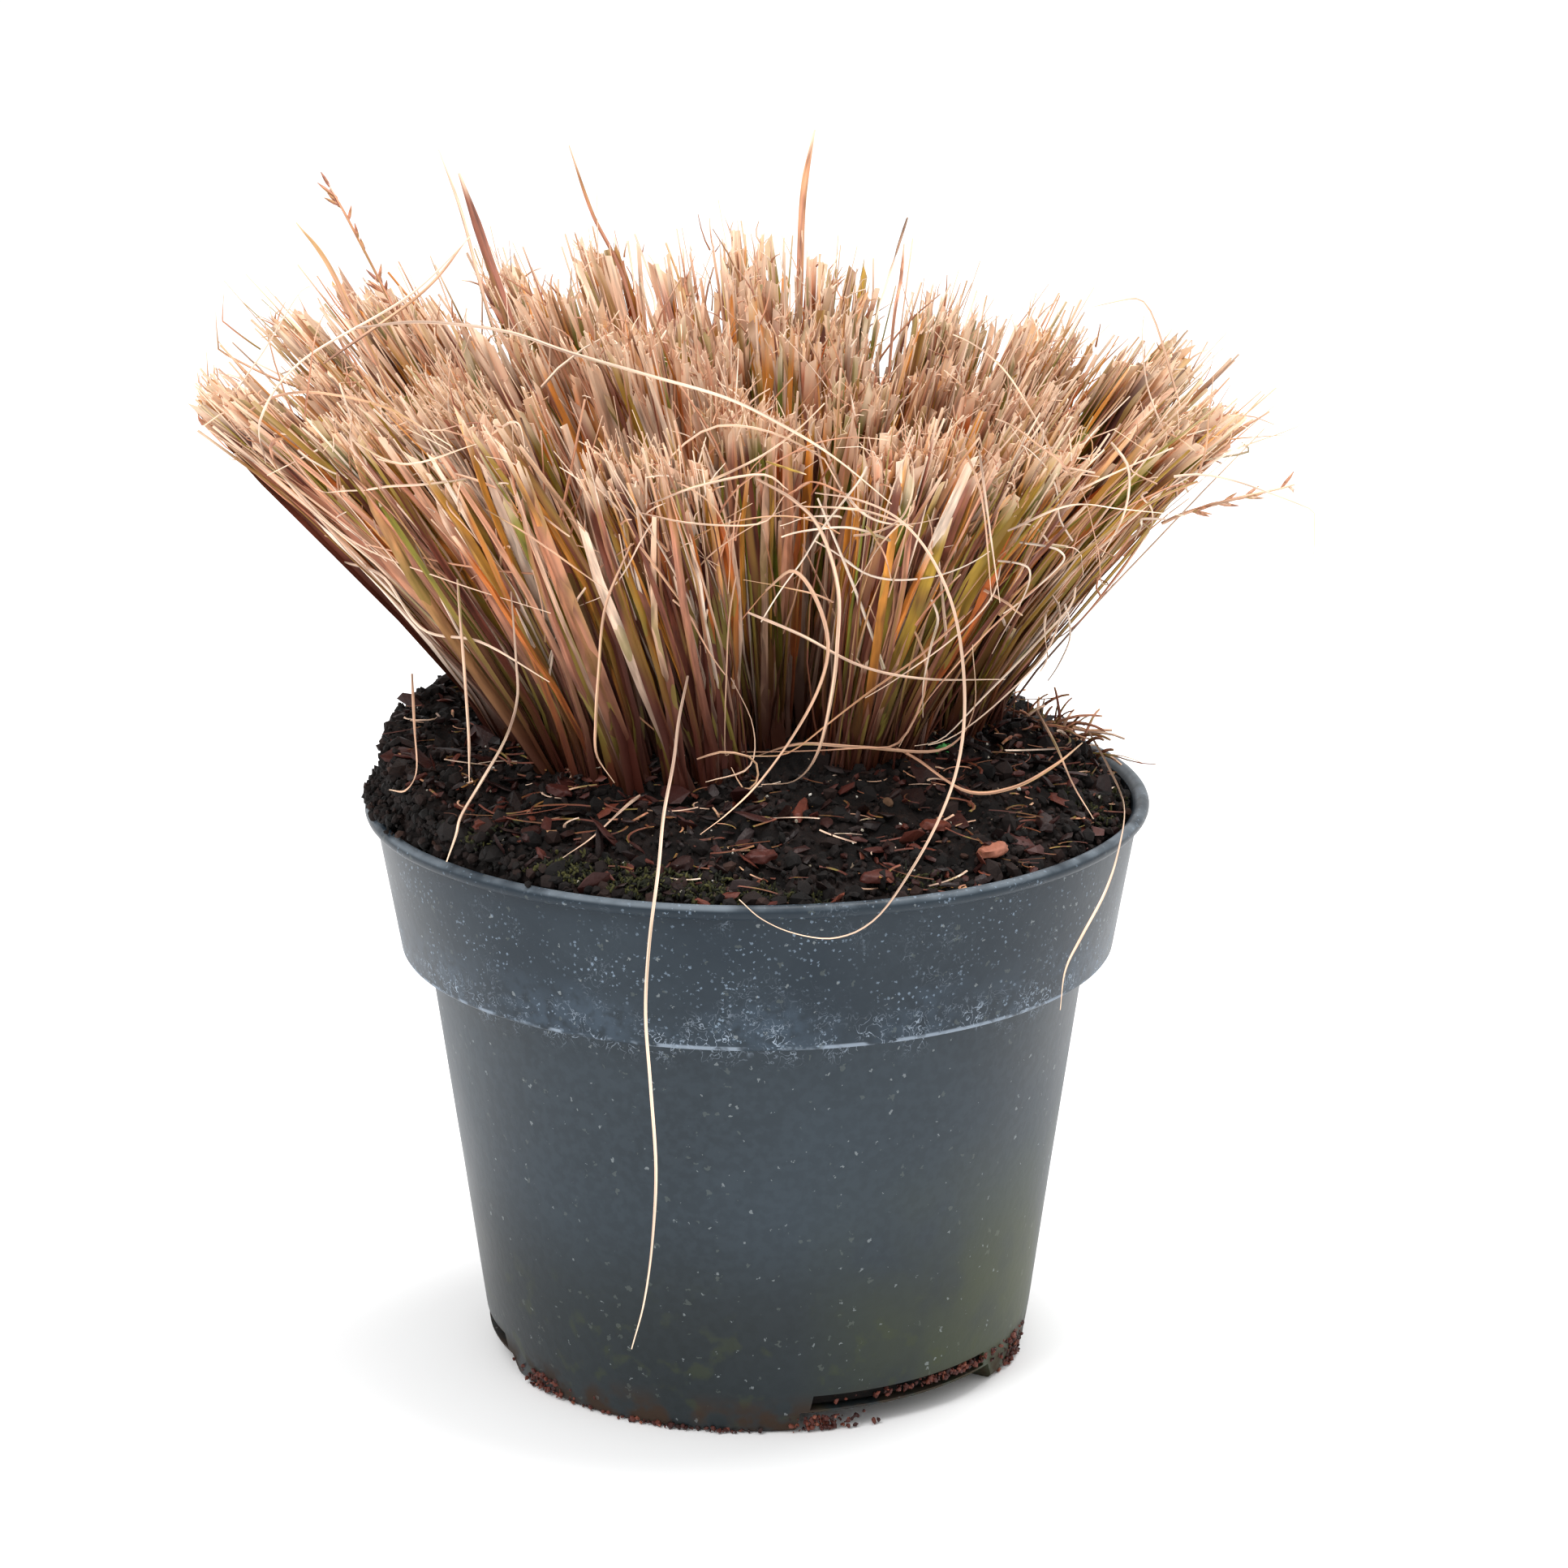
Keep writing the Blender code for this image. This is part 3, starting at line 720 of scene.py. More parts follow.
mound = build_mound()
print("mound triangles:", triangles(mound))

# %% [markdown]
# ### Many small things at once
# Crumbs, bark bits and lime grains are all small lumps. Each starts as the same 12-cornered ball
# and is stretched, dented and turned at random. Object instances would be lighter, but joined
# meshes travel to any other program. Every lump also gets its own spot on a UV map: the U of the
# spot is the lump's tint, which its material looks up on a colour ramp.

# %% Lumps and scattered places
TINT_MAP = "OFBake"
TINT_SPAN = 0.99


def finish_mesh(name, points, faces, spots, material, node=None, sharp_angle=None):
    """A piece from arrays of points, faces and one UV spot a corner, riding on the root body."""
    mesh = bpy.data.meshes.new(name)
    mesh.from_pydata(points.reshape(-1, 3).tolist(), [], faces.tolist())
    layer = mesh.uv_layers.new(name=TINT_MAP)
    layer.uv.foreach_set("vector", spots.astype(np.float32).ravel())
    if sharp_angle is not None:
        mesh.shade_smooth()
        mesh.set_sharp_from_angle(angle=math.radians(sharp_angle))
    mesh.materials.append(material)
    return hand_over(link_object(name, mesh), node)


def random_turns(count):
    """Random rotation matrices, from random unit quaternions."""
    w, x, y, z = unit(chance.normal(size=(count, 4))).T
    rows = [1 - 2 * (y * y + z * z), 2 * (x * y - w * z), 2 * (x * z + w * y),
            2 * (x * y + w * z), 1 - 2 * (x * x + z * z), 2 * (y * z - w * x),
            2 * (x * z - w * y), 2 * (y * z + w * x), 1 - 2 * (x * x + y * y)]
    return np.stack(rows, axis=1).reshape(count, 3, 3)


def lying_turns(count, tilt):
    """Rotations for flat things that lie down: any heading, and a small random tilt in radians."""
    heading = chance.uniform(0, math.tau, count)
    tilts = chance.normal(0, tilt, (2, count)).T
    return np.array([Matrix.Rotation(lean, 3, "X") @ Matrix.Rotation(roll, 3, "Y")
                     @ Matrix.Rotation(turn, 3, "Z") for (lean, roll), turn in zip(tilts, heading)])


def ball():
    """Corners and faces of an icosphere, as arrays."""
    bm = bmesh.new()
    bmesh.ops.create_icosphere(bm, subdivisions=1, radius=1.0)
    points = np.array([vert.co for vert in bm.verts])
    faces = np.array([[vert.index for vert in face.verts] for face in bm.faces])
    bm.free()
    return points, faces


def scatter_lumps(name, places, sizes, turns, tints, material, dents=0.25):
    """One mesh of lumps. sizes is (lumps, 3) half lengths; tints run from 0 to 1."""
    base, base_faces = ball()
    count = len(places)
    dented = base[None] * (1 + chance.uniform(-dents, dents, (count, len(base), 1)))
    shaped = np.einsum("nij,nkj->nki", turns, dented * sizes[:, None, :])
    points = shaped + places[:, None, :]
    faces = base_faces[None] + np.arange(count)[:, None, None] * len(base)
    corners = np.array([[0.0, 0.0], [0.004, 0.0], [0.002, 0.02]])
    spots = np.zeros((count, len(base_faces), 3, 2))
    spots[..., 0] = tints[:, None, None] * TINT_SPAN
    spots[..., 1:] += chance.uniform(0.05, 0.9, (count, len(base_faces), 1, 1))
    return finish_mesh(name, points, faces.reshape(-1, 3), spots + corners, material)


def spread_on_mound(count, low, high=1.0):
    """Random (x, y) places between two shares of the mound's radius."""
    reach = MIX_RADIUS * np.sqrt(chance.uniform(low ** 2, high ** 2, count))
    return polar(reach, chance.uniform(0, math.tau, count))


def settle(flat, lift):
    """(x, y, z) places that rest on the mound. lift is a height for each, or one for all."""
    return np.column_stack([flat, [surface(x, y) for x, y in flat] + lift * np.ones(len(flat))])


def lump_sizes(count, low, high, thin, thick):
    """Half lengths in millimetres, times a share for each of a lump's three directions."""
    size = chance.uniform(low, high, (count, 1)) * MM
    return size * chance.uniform(thin, thick, (count, 3))


print("a lump has", len(ball()[1]), "faces")

# %% [markdown]
# ### Damp peat and bark
# Wet peat is almost black, and the crumbs differ from it only a little: most are near black, some
# red-brown, a few straw-coloured. One function makes the finish for anything that takes its
# colour from the tint map, so peat, bark, moss and grit differ only in the ramp that they pass in.


# %% Tinted finishes
def tinted_finish(name, stops, roughness, grain=0.35):
    """A matt finish whose colour is looked up by tint, with fibres and pits over it."""
    made, tree, shader = new_material(name, roughness, 0.3)
    spot = add_node(tree, "UVMap", uv_map=TINT_MAP).outputs["UV"]
    colour = ramp(tree, split(tree, spot)["X"], stops)
    strands = place_group(tree, FIBRES, Vector=spot, Across=260.0, Along=14.0)
    dark = mix_colours(tree, 1.0, colour, (0.45, 0.42, 0.40, 1.0), "MULTIPLY")
    colour = mix_colours(tree, times(tree, strands, grain * 2), colour, dark)
    tree.links.new(colour, shader.inputs["Base Color"])
    pits = place_group(tree, BLOTCHES, Vector=object_place(tree), Scale=1300.0, Low=0.3, High=0.7,
                       Detail=2.0)
    add_bump(tree, shader, pits, 0.15, 0.3 * MM)
    return made


def peat_finish():
    """The mound: black peat with red-brown patches and fine pale grit."""
    made, tree, shader = new_material("damp_peat", 0.85, 0.2)
    place = object_place(tree)
    patches = place_group(tree, BLOTCHES, Vector=place, Scale=70.0, Low=0.4, High=0.7)
    colour = mix_colours(tree, patches, srgb(12, 9, 8), srgb(28, 17, 14))
    fine = place_group(tree, BLOTCHES, Vector=place, Scale=700.0, Low=0.5, High=0.75)
    colour = mix_colours(tree, times(tree, fine, 0.45), colour, srgb(44, 29, 23))
    grit = place_group(tree, SPECKS, Vector=place, Scale=420.0, Size=0.28, Amount=0.1)
    colour = mix_colours(tree, times(tree, grit, 0.6), colour, srgb(150, 132, 112))
    tree.links.new(colour, shader.inputs["Base Color"])
    wet = calculate(tree, "MULTIPLY_ADD", patches, -0.25, 0.9)
    tree.links.new(wet, shader.inputs["Roughness"])
    add_bump(tree, shader, fine, 0.6, 0.5 * MM)
    return made


mound.data.materials.append(peat_finish())
PEAT_STOPS = [(0.0, srgb(9, 7, 6)), (0.35, srgb(22, 14, 12)), (0.7, srgb(42, 25, 20)),
              (0.9, srgb(64, 41, 31)), (1.0, srgb(128, 98, 72))]
BARK_STOPS = [(0.0, srgb(20, 12, 12)), (0.3, srgb(44, 22, 20)), (0.58, srgb(78, 35, 29)),
              (0.85, srgb(118, 60, 45)), (1.0, srgb(188, 122, 98))]
GRAIN_STOPS = [(0.0, srgb(150, 140, 120)), (1.0, srgb(232, 228, 218))]
crumb_finish = tinted_finish("peat_crumbs", PEAT_STOPS, 0.85)
bark_finish = tinted_finish("damp_bark", BARK_STOPS, 0.5, 0.5)
print("mound wears", mound.data.materials[0].name)


# %% Crumbs, bark bits and white grains
def build_crumbs(count=6800):
    flat = np.concatenate([spread_on_mound(count // 3, 0.85),
                           spread_on_mound(count - count // 3, 0.25)])
    size = np.clip(chance.lognormal(-0.15, 0.6, count), 0.35, 3.4) * MM * 0.8
    sizes = size[:, None] * chance.uniform(0.5, 1.25, (count, 3))
    tints = chance.beta(1.5, 3.2, count)
    return scatter_lumps("peat_crumbs", settle(flat, size * 0.35), sizes, random_turns(count),
                         tints, crumb_finish)


def build_bark_bits(count=900):
    flat = spread_on_mound(count, 0.35, 0.985)
    length = np.clip(chance.lognormal(0.95, 0.5, count), 1.2, 6.5) * MM * 0.9
    sizes = np.stack([length, length * chance.uniform(0.25, 0.6, count),
                      chance.uniform(0.3, 0.8, count) * MM], axis=1)
    places = settle(flat, chance.uniform(0.5, 1.9, count) * MM)
    tints = np.minimum(chance.beta(1.4, 2.6, count), 0.97)
    return scatter_lumps("bark_bits", places, sizes, lying_turns(count, 0.45), tints, bark_finish,
                         0.35)


def build_grains(count=190):
    flat = spread_on_mound(count, 0.4)
    sizes = lump_sizes(count, 0.18, 0.5, 0.6, 1.4)
    white = tinted_finish("white_grains", GRAIN_STOPS, 0.8, 0.1)
    tints = chance.uniform(0, 1, count)
    return scatter_lumps("white_grains", settle(flat, 0.9 * MM), sizes, random_turns(count),
                         tints, white)


def build_wall_crumbs(count=5100):
    """Crumbs that stick to the side of the mound where it stands above the rim."""
    angle = chance.uniform(0, math.tau, count)
    tops = np.array([ground(x, y) for x, y in polar(MIX_RADIUS, angle)])
    height = chance.uniform(POT_HEIGHT - 4 * MM, POT_HEIGHT + 20 * MM, count)
    kept = height < tops - 1 * MM
    count = kept.sum()
    reach = MIX_RADIUS - chance.uniform(0.2, 2.2, count) * MM
    places = np.column_stack([polar(reach, angle[kept]), height[kept]])
    sizes = lump_sizes(count, 0.5, 1.9, 0.5, 1.1)
    tints = chance.beta(1.3, 3.0, count)
    return scatter_lumps("crumbs_at_edge", places, sizes, random_turns(count), tints,
                         crumb_finish)


crumbs = build_crumbs()
print("crumbs at the edge:", triangles(build_wall_crumbs()))
bits = build_bark_bits()
grains = build_grains()
print("crumbs:", triangles(crumbs), "bark bits:", triangles(bits), "grains:", triangles(grains))


# %% [markdown]
# ### The larger bark chips
# Ten chips are big enough to be solids in the frame. Each visible chip starts from its solid, so
# it lies exactly where the solid does. Its faces are subdivided, every point is pushed in or out by
# noise at two scales, less so in height, and the chip is flattened a little.


# %% Refine the frame's bark chips
def chip_from(node, tint):
    bm = bmesh.new()
    bm.from_mesh(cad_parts[node].data)
    bmesh.ops.remove_doubles(bm, verts=bm.verts, dist=0.01 * MM)
    bmesh.ops.triangulate(bm, faces=bm.faces)
    bmesh.ops.subdivide_edges(bm, edges=bm.edges, cuts=3, use_grid_fill=True)
    middle = sum((vert.co for vert in bm.verts), Vector()) / len(bm.verts)
    bm.normal_update()
    for vert in bm.verts:
        local = vert.co - middle
        rough = noise.noise(local * 420 + middle * 50) * 0.9 + noise.noise(local * 1900) * 0.3
        vert.co += vert.normal * rough * MM * Vector((1, 1, 0.4))
        vert.co.z -= (vert.co.z - middle.z) * 0.3
    layer = bm.loops.layers.uv.new(TINT_MAP)
    for face in bm.faces:
        for loop in face.loops:
            local = loop.vert.co - middle
            loop[layer].uv = (tint + local.x * 4, 0.5 + local.y * 40)
    mesh = mesh_from(bm, "fine_" + node)
    mesh.shade_smooth()
    mesh.set_sharp_from_angle(angle=math.radians(24))
    mesh.materials.append(bark_finish)
    return hand_over(link_object(mesh.name, mesh), node)


CHIP_TINTS = (0.98, 0.78, 0.60, 0.62, 0.72, 0.55, 0.30, 0.80, 0.35, 0.25)
for number, tint in enumerate(CHIP_TINTS, 1):
    chip = chip_from(f"bark_chip_{number:02d}", tint)
print("bark chips:", len(CHIP_TINTS), "of", triangles(chip), "triangles each")

# %% [markdown]
# ## The clump
# A sedge blade is a long strip, folded along its midrib into a shallow gutter. Dry blades twist,
# bow and split, and the shears left every tip ragged. Geometry nodes or a hair system could plant
# strips on a surface, but each blade here has to end at the height where the shears passed and
# share a shoot with its neighbours. So the whole clump is computed as arrays: one axis for the
# blades, one for the places along a blade, one for x, y and z.

# %% [markdown]
# ### What a dry blade looks like
# The blades fade from dark red-brown sheaths through mauve, salmon and tan to bleached tips, and
# some still hold a stripe of green or ochre. Their darkening towards the root is partly the
# sheaths' own colour and partly painted shade, for the shade deep in the clump. All of it is a
# function of the tint map: U picks the blade's own colour, fine streaks follow V, and stains depend
# on both. A blade therefore keeps its colours wherever it is moved, and the colour can be painted
# to an image without any loss.


# %% Blade finish
BLADE_STOPS = [
    (0.00, srgb(66, 26, 16)), (0.08, srgb(100, 48, 33)), (0.17, srgb(128, 74, 56)),
    (0.27, srgb(158, 102, 82)), (0.37, srgb(184, 124, 96)), (0.47, srgb(206, 148, 116)),
    (0.57, srgb(224, 182, 152)), (0.65, srgb(236, 206, 182)), (0.72, srgb(242, 222, 202)),
    (0.77, srgb(214, 142, 56)), (0.83, srgb(182, 86, 30)), (0.88, srgb(168, 128, 44)),
    (0.93, srgb(128, 120, 38)), (1.00, srgb(84, 102, 28))]


def blade_finish():
    made, tree, shader = new_material("dry_blades", 0.58, 0.35)
    spot = add_node(tree, "UVMap", uv_map=TINT_MAP).outputs["UV"]
    tint, along, _ = split(tree, spot)

    def fibres(across, lengthwise):
        return place_group(tree, FIBRES, Vector=spot, Across=across, Along=lengthwise)

    streaks, stripes, stains = fibres(900.0, 7.0), fibres(420.0, 1.6), fibres(170.0, 5.0)
    colour = ramp(tree, tint, BLADE_STOPS)
    colour = mix_colours(tree, 1.0, colour, remap(tree, streaks, 0.3, 0.7, 0.42, 1.5), "MULTIPLY")
    pale = place_group(tree, BAND, Value=tint, From=0.57, To=0.74, Softness=0.04)
    coloured = calculate(tree, "SUBTRACT", 1.0, pale)
    striped = times(tree, remap(tree, stripes, 0.52, 0.66, 0.0, 0.6), coloured)
    colour = mix_colours(tree, striped, colour, srgb(168, 134, 58))
    stained = remap(tree, stains, 0.56, 0.72, 0.0, 0.5)
    colour = mix_colours(tree, stained, colour, srgb(112, 60, 44))
    # Darker towards the root: partly the red-brown of the sheaths, partly painted shade from the
    # dense base of the clump.
    root = remap(tree, along, 0.74, 0.04, 0.0, 0.96, smooth=True)
    colour = mix_colours(tree, root, colour, srgb(70, 28, 17))
    green = place_group(tree, BAND, Value=along, From=0.22, To=0.55, Softness=0.2)
    green = times(tree, green, calculate(tree, "GREATER_THAN", fibres(240.0, 2.5), 0.6))
    colour = mix_colours(tree, times(tree, green, 0.6), colour, srgb(132, 122, 50))
    tip = remap(tree, along, 0.88, 1.0, smooth=True)
    bleach = times(tree, tip, remap(tree, stains, 0.34, 0.56, 0.0, 0.8))
    colour = mix_colours(tree, bleach, colour, srgb(252, 222, 192))
    tree.links.new(colour, shader.inputs["Base Color"])
    add_bump(tree, shader, streaks, 0.25, 0.2 * MM)
    return made


dry_blades = blade_finish()
print("blade colours on the ramp:", len(BLADE_STOPS))

# %% [markdown]
# ### Folded strips
# A blade is swept along its path as a gutter with four columns of corners: left, keel, right and
# the underside of the keel. The same function draws a broad blade, a hair or a scale, so only the
# widths, the fold and the twist differ. It also closes both ends, so that no blade is open.


# %% Sweep folded strips along many paths at once
def strip_spots(count, rings, tints, low, high):
    """The UV corners of each strip: U is its tint, and V runs along it from low to high."""
    column = 0.001
    sides = np.arange(4)[None, :, None] + np.array([0, 1, 1, 0])
    along = np.arange(rings - 1)[:, None, None] + np.array([0, 0, 1, 1])
    walls = np.zeros((count, rings - 1, 4, 4, 2))
    walls[..., 0] = tints[:, None, None, None] * TINT_SPAN + column * sides
    walls[..., 1] = low + (high - low) * along / (rings - 1)
    caps = np.zeros((count, 2, 4, 2))
    caps[..., 0] = tints[:, None, None] * TINT_SPAN + column * np.array([0, 1, 2, 1])
    caps[:, 0, :, 1] = low + 0.004 * np.array([0, 1, 0, 2])
    caps[:, 1, :, 1] = high - 0.004 * np.array([0, 1, 0, 2])
    return np.concatenate([walls.reshape(-1, 4, 2), caps.reshape(-1, 4, 2)])


def strip_faces(count, rings):
    """Corner numbers of the walls and of the two end caps of each strip."""
    first = np.arange(count)[:, None, None] * rings * 4
    ring = np.arange(rings - 1)[None, :, None] * 4
    side = np.arange(4)[None, None, :]
    after = (side + 1) % 4
    near = first + ring
    walls = np.stack([near + side, near + after, near + 4 + after, near + 4 + side], axis=-1)
    roots = first[:, :, 0] + np.array([0, 3, 2, 1])
    tips = first[:, :, 0] + (rings - 1) * 4 + np.array([0, 1, 2, 3])
    caps = np.stack([roots, tips], axis=1)
    return np.concatenate([walls.reshape(-1, 4), caps.reshape(-1, 4)])


def keep_in_frame(paths):
    """Holds points inside the frame's box, a little way in from its sides."""
    low, high = (np.array(corner) for corner in cad_box)
    return np.clip(paths, low + 1 * MM, high - 1 * MM)


def sweep_strips(name, paths, widths, tints, folds=0.0, facing=(0.0, -1.0, 0.3),
                 twist=0.0, thickness=0.3 * MM, slant=0.0, low=0.0, high=1.0, node=None):
    """One mesh of folded strips. paths is (strips, rings, 3) and widths is (strips, rings)."""
    count, rings = widths.shape
    paths = keep_in_frame(paths)
    share = np.linspace(0, 1, rings)[None, :, None]
    ahead = unit(np.gradient(paths, axis=1))
    side = unit(np.cross(ahead, np.broadcast_to(facing, (count, 3))[:, None, :]))
    front = np.cross(side, ahead)
    angle = np.broadcast_to(twist, count)[:, None, None] * (share - 0.3)
    side, front = (side * np.cos(angle) + front * np.sin(angle),
                   front * np.cos(angle) - side * np.sin(angle))
    half = widths[..., None] / 2
    dip = half * np.broadcast_to(folds, count)[:, None, None]
    left = paths - side * half - front * dip
    right = paths + side * half - front * dip
    keel = paths + front * dip
    cut = ahead[:, -1] * half[:, -1] * np.broadcast_to(slant, count)[:, None]
    left[:, -1] += cut
    right[:, -1] -= cut
    ring = np.stack([left, keel, right, keel - front * thickness], axis=2)
    spots = strip_spots(count, rings, tints, low, high)
    return finish_mesh(name, ring, strip_faces(count, rings), spots, dry_blades, node, 40)


def tapered(low, high, count, rings, tip):
    """Random widths in millimetres, each narrowing to a share of itself at its tip."""
    return chance.uniform(low, high, count)[:, None] * MM * np.linspace(1, tip, rings)


def sprout(starts, lengths, headings, curls, rings):
    """Paths that leave their starts along a heading and curl away from it."""
    share = np.linspace(0, 1, rings)[None, :, None]
    return starts[:, None] + lengths[:, None, None] * (headings[:, None] * share
                                                       + curls[:, None] * share ** 2)


def bend_through(points, rings):
    """A smooth path of so many rings through a few points, as an array."""
    given = np.array(points, dtype=float)
    given = np.vstack([2 * given[0] - given[1], given, 2 * given[-1] - given[-2]])
    where = np.linspace(0, len(points) - 1, rings)
    index = np.minimum(where.astype(int), len(points) - 2)
    t = (where - index)[:, None]
    a, b, c, d = (given[index + i] for i in range(4))
    return (b + 0.5 * ((c - a) * t + (2 * a - 5 * b + 4 * c - d) * t ** 2
                       + (3 * b - a - 3 * c + d) * t ** 3))


print("a strip of 6 rings has", len(strip_faces(1, 6)), "faces")

# %% [markdown]
# ### Where the shoots stand
# Each shoot sends up a fan of blades from one point, and bare mix shows between the shoots at the
# front. The map below places a blade in a unit circle. Near the ground the circle is the small
# oval of the crown; at the top it is the wide oval that the shears left. Blades take the nearest
# shoot's place for a root, so they gather there and spread towards the top.

# %% Sizes of the clump
ROOT_CENTRE = np.array([0.0, 14.0]) * MM
ROOT_HALF = np.array([60.0, 44.0]) * MM
TIP_CENTRE = np.array([-8.0, 8.0]) * MM
TIP_HALF = np.array([125.0, 77.0]) * MM
CLIP_HEIGHT = 246.0 * MM
FLARE = 1.2
INNER_SHARE = 0.52
OUTER_BLADES = 275
INNER_BLADES = 150
OUTER_REACH = (0.98, 0.93, 0.97, 0.98, 0.96, 1.00, 0.97, 0.98, 0.97, 0.96)
OUTER_ROOT = (0.92, 1.00, 1.00, 1.00, 1.00, 1.00, 1.06, 1.12, 0.84, 0.90)
FRONT_SHOOTS = ((-60, 14), (-56, 2), (-47, -22), (-39, -30), (-29, -34), (-18, -37), (-10, -31),
                (3, 2), (24, -18), (31, -14), (48, 8), (55, 20), (-30, -6), (-8, 9), (14, 10),
                (33, 8))


def clip_height(u, v):
    """Where the shears passed: higher at the back, lower at the two sides."""
    return CLIP_HEIGHT + (8.5 * v - 13.5 * u * u - 5.5 * u) * MM


def root_of(u, v, reach_root):
    """Root places, drawn in or out beyond the inner tufts by reach_root."""
    radius = np.hypot(u, v)
    beyond = np.maximum(radius - INNER_SHARE, 0) * (reach_root - INNER_SHARE) / (1 - INNER_SHARE)
    drawn = np.where(radius > INNER_SHARE, INNER_SHARE + beyond, radius)
    pull = drawn / np.maximum(radius, 1e-6)
    return ROOT_CENTRE + ROOT_HALF * np.stack([u * pull, v * pull], axis=1)


def plant_shoots(count=52, apart=9.5 * MM):
    """The shoots at the front, and more of them spread over the rest of the crown."""
    found = [np.array(place) * MM for place in FRONT_SHOOTS]
    while len(found) < count:
        u, v = chance.uniform(-1, 1, 2)
        place = ROOT_CENTRE + ROOT_HALF * (u, v)
        behind = place[1] > 16 * MM
        if math.hypot(u, v) < 1 and behind and all(math.dist(place, f) > apart for f in found):
            found.append(place)
        else:
            apart *= 0.9995
    return np.array(found)


shoots = plant_shoots()
shoot_rise = chance.normal(0, 0.045, len(shoots))
shoot_spots = (shoots - ROOT_CENTRE) / ROOT_HALF
print("shoots:", len(shoots))


# %% Blades of one tuft
def gather(roots, tightness=0.9):
    """Draws each root towards its nearest shoot."""
    away = np.linalg.norm(roots[:, None, :] - shoots[None], axis=2)
    nearest = np.argmin(away, axis=1)
    scatter = chance.normal(0, 1.6 * MM, roots.shape)
    return roots + (shoots[nearest] - roots) * tightness + scatter, nearest


def blade_paths(u, v, roots, rise, rings):
    """Paths from the roots to the clipped top, or to a share of that way. rise is (blades,)."""
    tips = TIP_CENTRE + TIP_HALF * np.stack([u, v], axis=1)
    foot = np.array([ground(x, y) - 3 * MM for x, y in roots])
    share = np.linspace(0, 1, rings)[None, :] * rise[:, None]
    lean = share ** (FLARE + chance.normal(0, 0.09, len(u)))[:, None]
    flat = roots[:, None] + (tips - roots)[:, None] * lean[..., None]
    bow = np.clip(chance.standard_t(4, (len(u), 1, 2)) * 2.2, -8, 8) * MM
    bow = bow - 4.5 * MM * np.stack([u ** 3, v ** 3], axis=1)[:, None]
    bow = bow * np.sin(math.pi * share)[..., None]
    wave = chance.normal(0, 0.5 * MM, (len(u), rings, 2)) * share[..., None]
    high = clip_height(u, v)[:, None]
    up = foot[:, None] + (high - foot[:, None]) * share
    return np.concatenate([flat + bow + wave, up[..., None]], axis=2)


# Each kind of blade has its lowest and highest tint, its share of the blades, and the factor on
# that share at the right of the clump, which has stayed greener.
KINDS = np.array([
    (0.02, 0.16, 0.10, 1.3), (0.14, 0.34, 0.12, 1.4), (0.30, 0.50, 0.13, 1.1),
    (0.44, 0.62, 0.15, 0.75), (0.60, 0.73, 0.15, 0.65), (0.76, 0.81, 0.13, 1.1),
    (0.81, 0.86, 0.07, 1.0), (0.87, 0.94, 0.11, 1.9), (0.93, 1.0, 0.04, 2.4)])
KIND_SEED = 5
RIGHT_FROM = 2 * MM


def pick_tints(count, nearest):
    """Tints by kind of blade. A shoot keeps mostly to its own kinds."""
    lowest, highest, shares, greener = KINDS.T
    lean = np.random.default_rng(KIND_SEED).gamma(5.0, 0.2, (len(shoots), len(KINDS))) * shares
    lean[shoots[:, 0] > RIGHT_FROM] *= greener
    odds = np.cumsum(lean[nearest] / lean[nearest].sum(axis=1, keepdims=True), axis=1)
    kind = np.minimum((chance.uniform(0, 1, (count, 1)) > odds).sum(axis=1), len(KINDS) - 1)
    return lowest[kind] + (highest - lowest)[kind] * chance.uniform(0, 1, count)


def sector(middle, half, inner, outer, count):
    """Random places (u, v) in a piece of a ring. Angles are in degrees."""
    angle = np.radians(chance.uniform(middle - half, middle + half, count))
    return polar(np.sqrt(chance.uniform(inner ** 2, outer ** 2, count)), angle).T


def bunch(u, v, nearest, reach):
    """Draws the tips of a shoot together, so that gaps open between the shoots."""
    spot = np.stack([u, v], axis=1)
    spot = (spot + (shoot_spots[nearest] - spot) * (0.52, 0.55)) * 1.06
    radius = np.linalg.norm(spot, axis=1, keepdims=True)
    spot *= np.minimum(1, reach / radius)
    return (spot + chance.normal(0, 1, spot.shape) * (0.02, 0.03)).T


def build_tuft(node, middle, half, inner, outer, reach_root, count, rings=6):
    """The blades of one tuft: (piece, their paths). It replaces the tuft's solid."""
    u, v = sector(middle, half, inner, outer, count)
    roots, nearest = gather(root_of(u, v, reach_root))
    u, v = bunch(u, v, nearest, outer)
    short = np.abs(chance.normal(0, 0.115, count))
    rise = np.clip(shoot_rise[nearest] + 1.015 - short, 0.62, 1.07)
    stubs = chance.uniform(0, 1, count) < 0.14
    rise[stubs] = chance.uniform(0.35, 0.9, stubs.sum())
    paths = blade_paths(u, v, roots, rise, rings)
    width = np.clip(chance.lognormal(0.78, 0.45, count), 0.9, 4.8) * MM
    shape = np.interp(np.linspace(0, 1, rings), [0, 0.25, 0.8, 1], [1.15, 1.0, 0.92, 0.7])
    tints = pick_tints(count, nearest)
    outward = np.stack([u + 0.15, v - 0.35, np.full(count, 0.15)], axis=1)
    outward += chance.normal(0, 0.42, (count, 3))
    folds = chance.uniform(0.12, 0.6, count) * chance.choice([-1, 1], count, p=[0.35, 0.65])
    piece = sweep_strips("blades_" + node, paths, width[:, None] * shape, tints,
                         folds, outward, chance.normal(0, 0.9, count),
                         slant=chance.normal(0, 1.6, count), node=node)
    return piece, paths


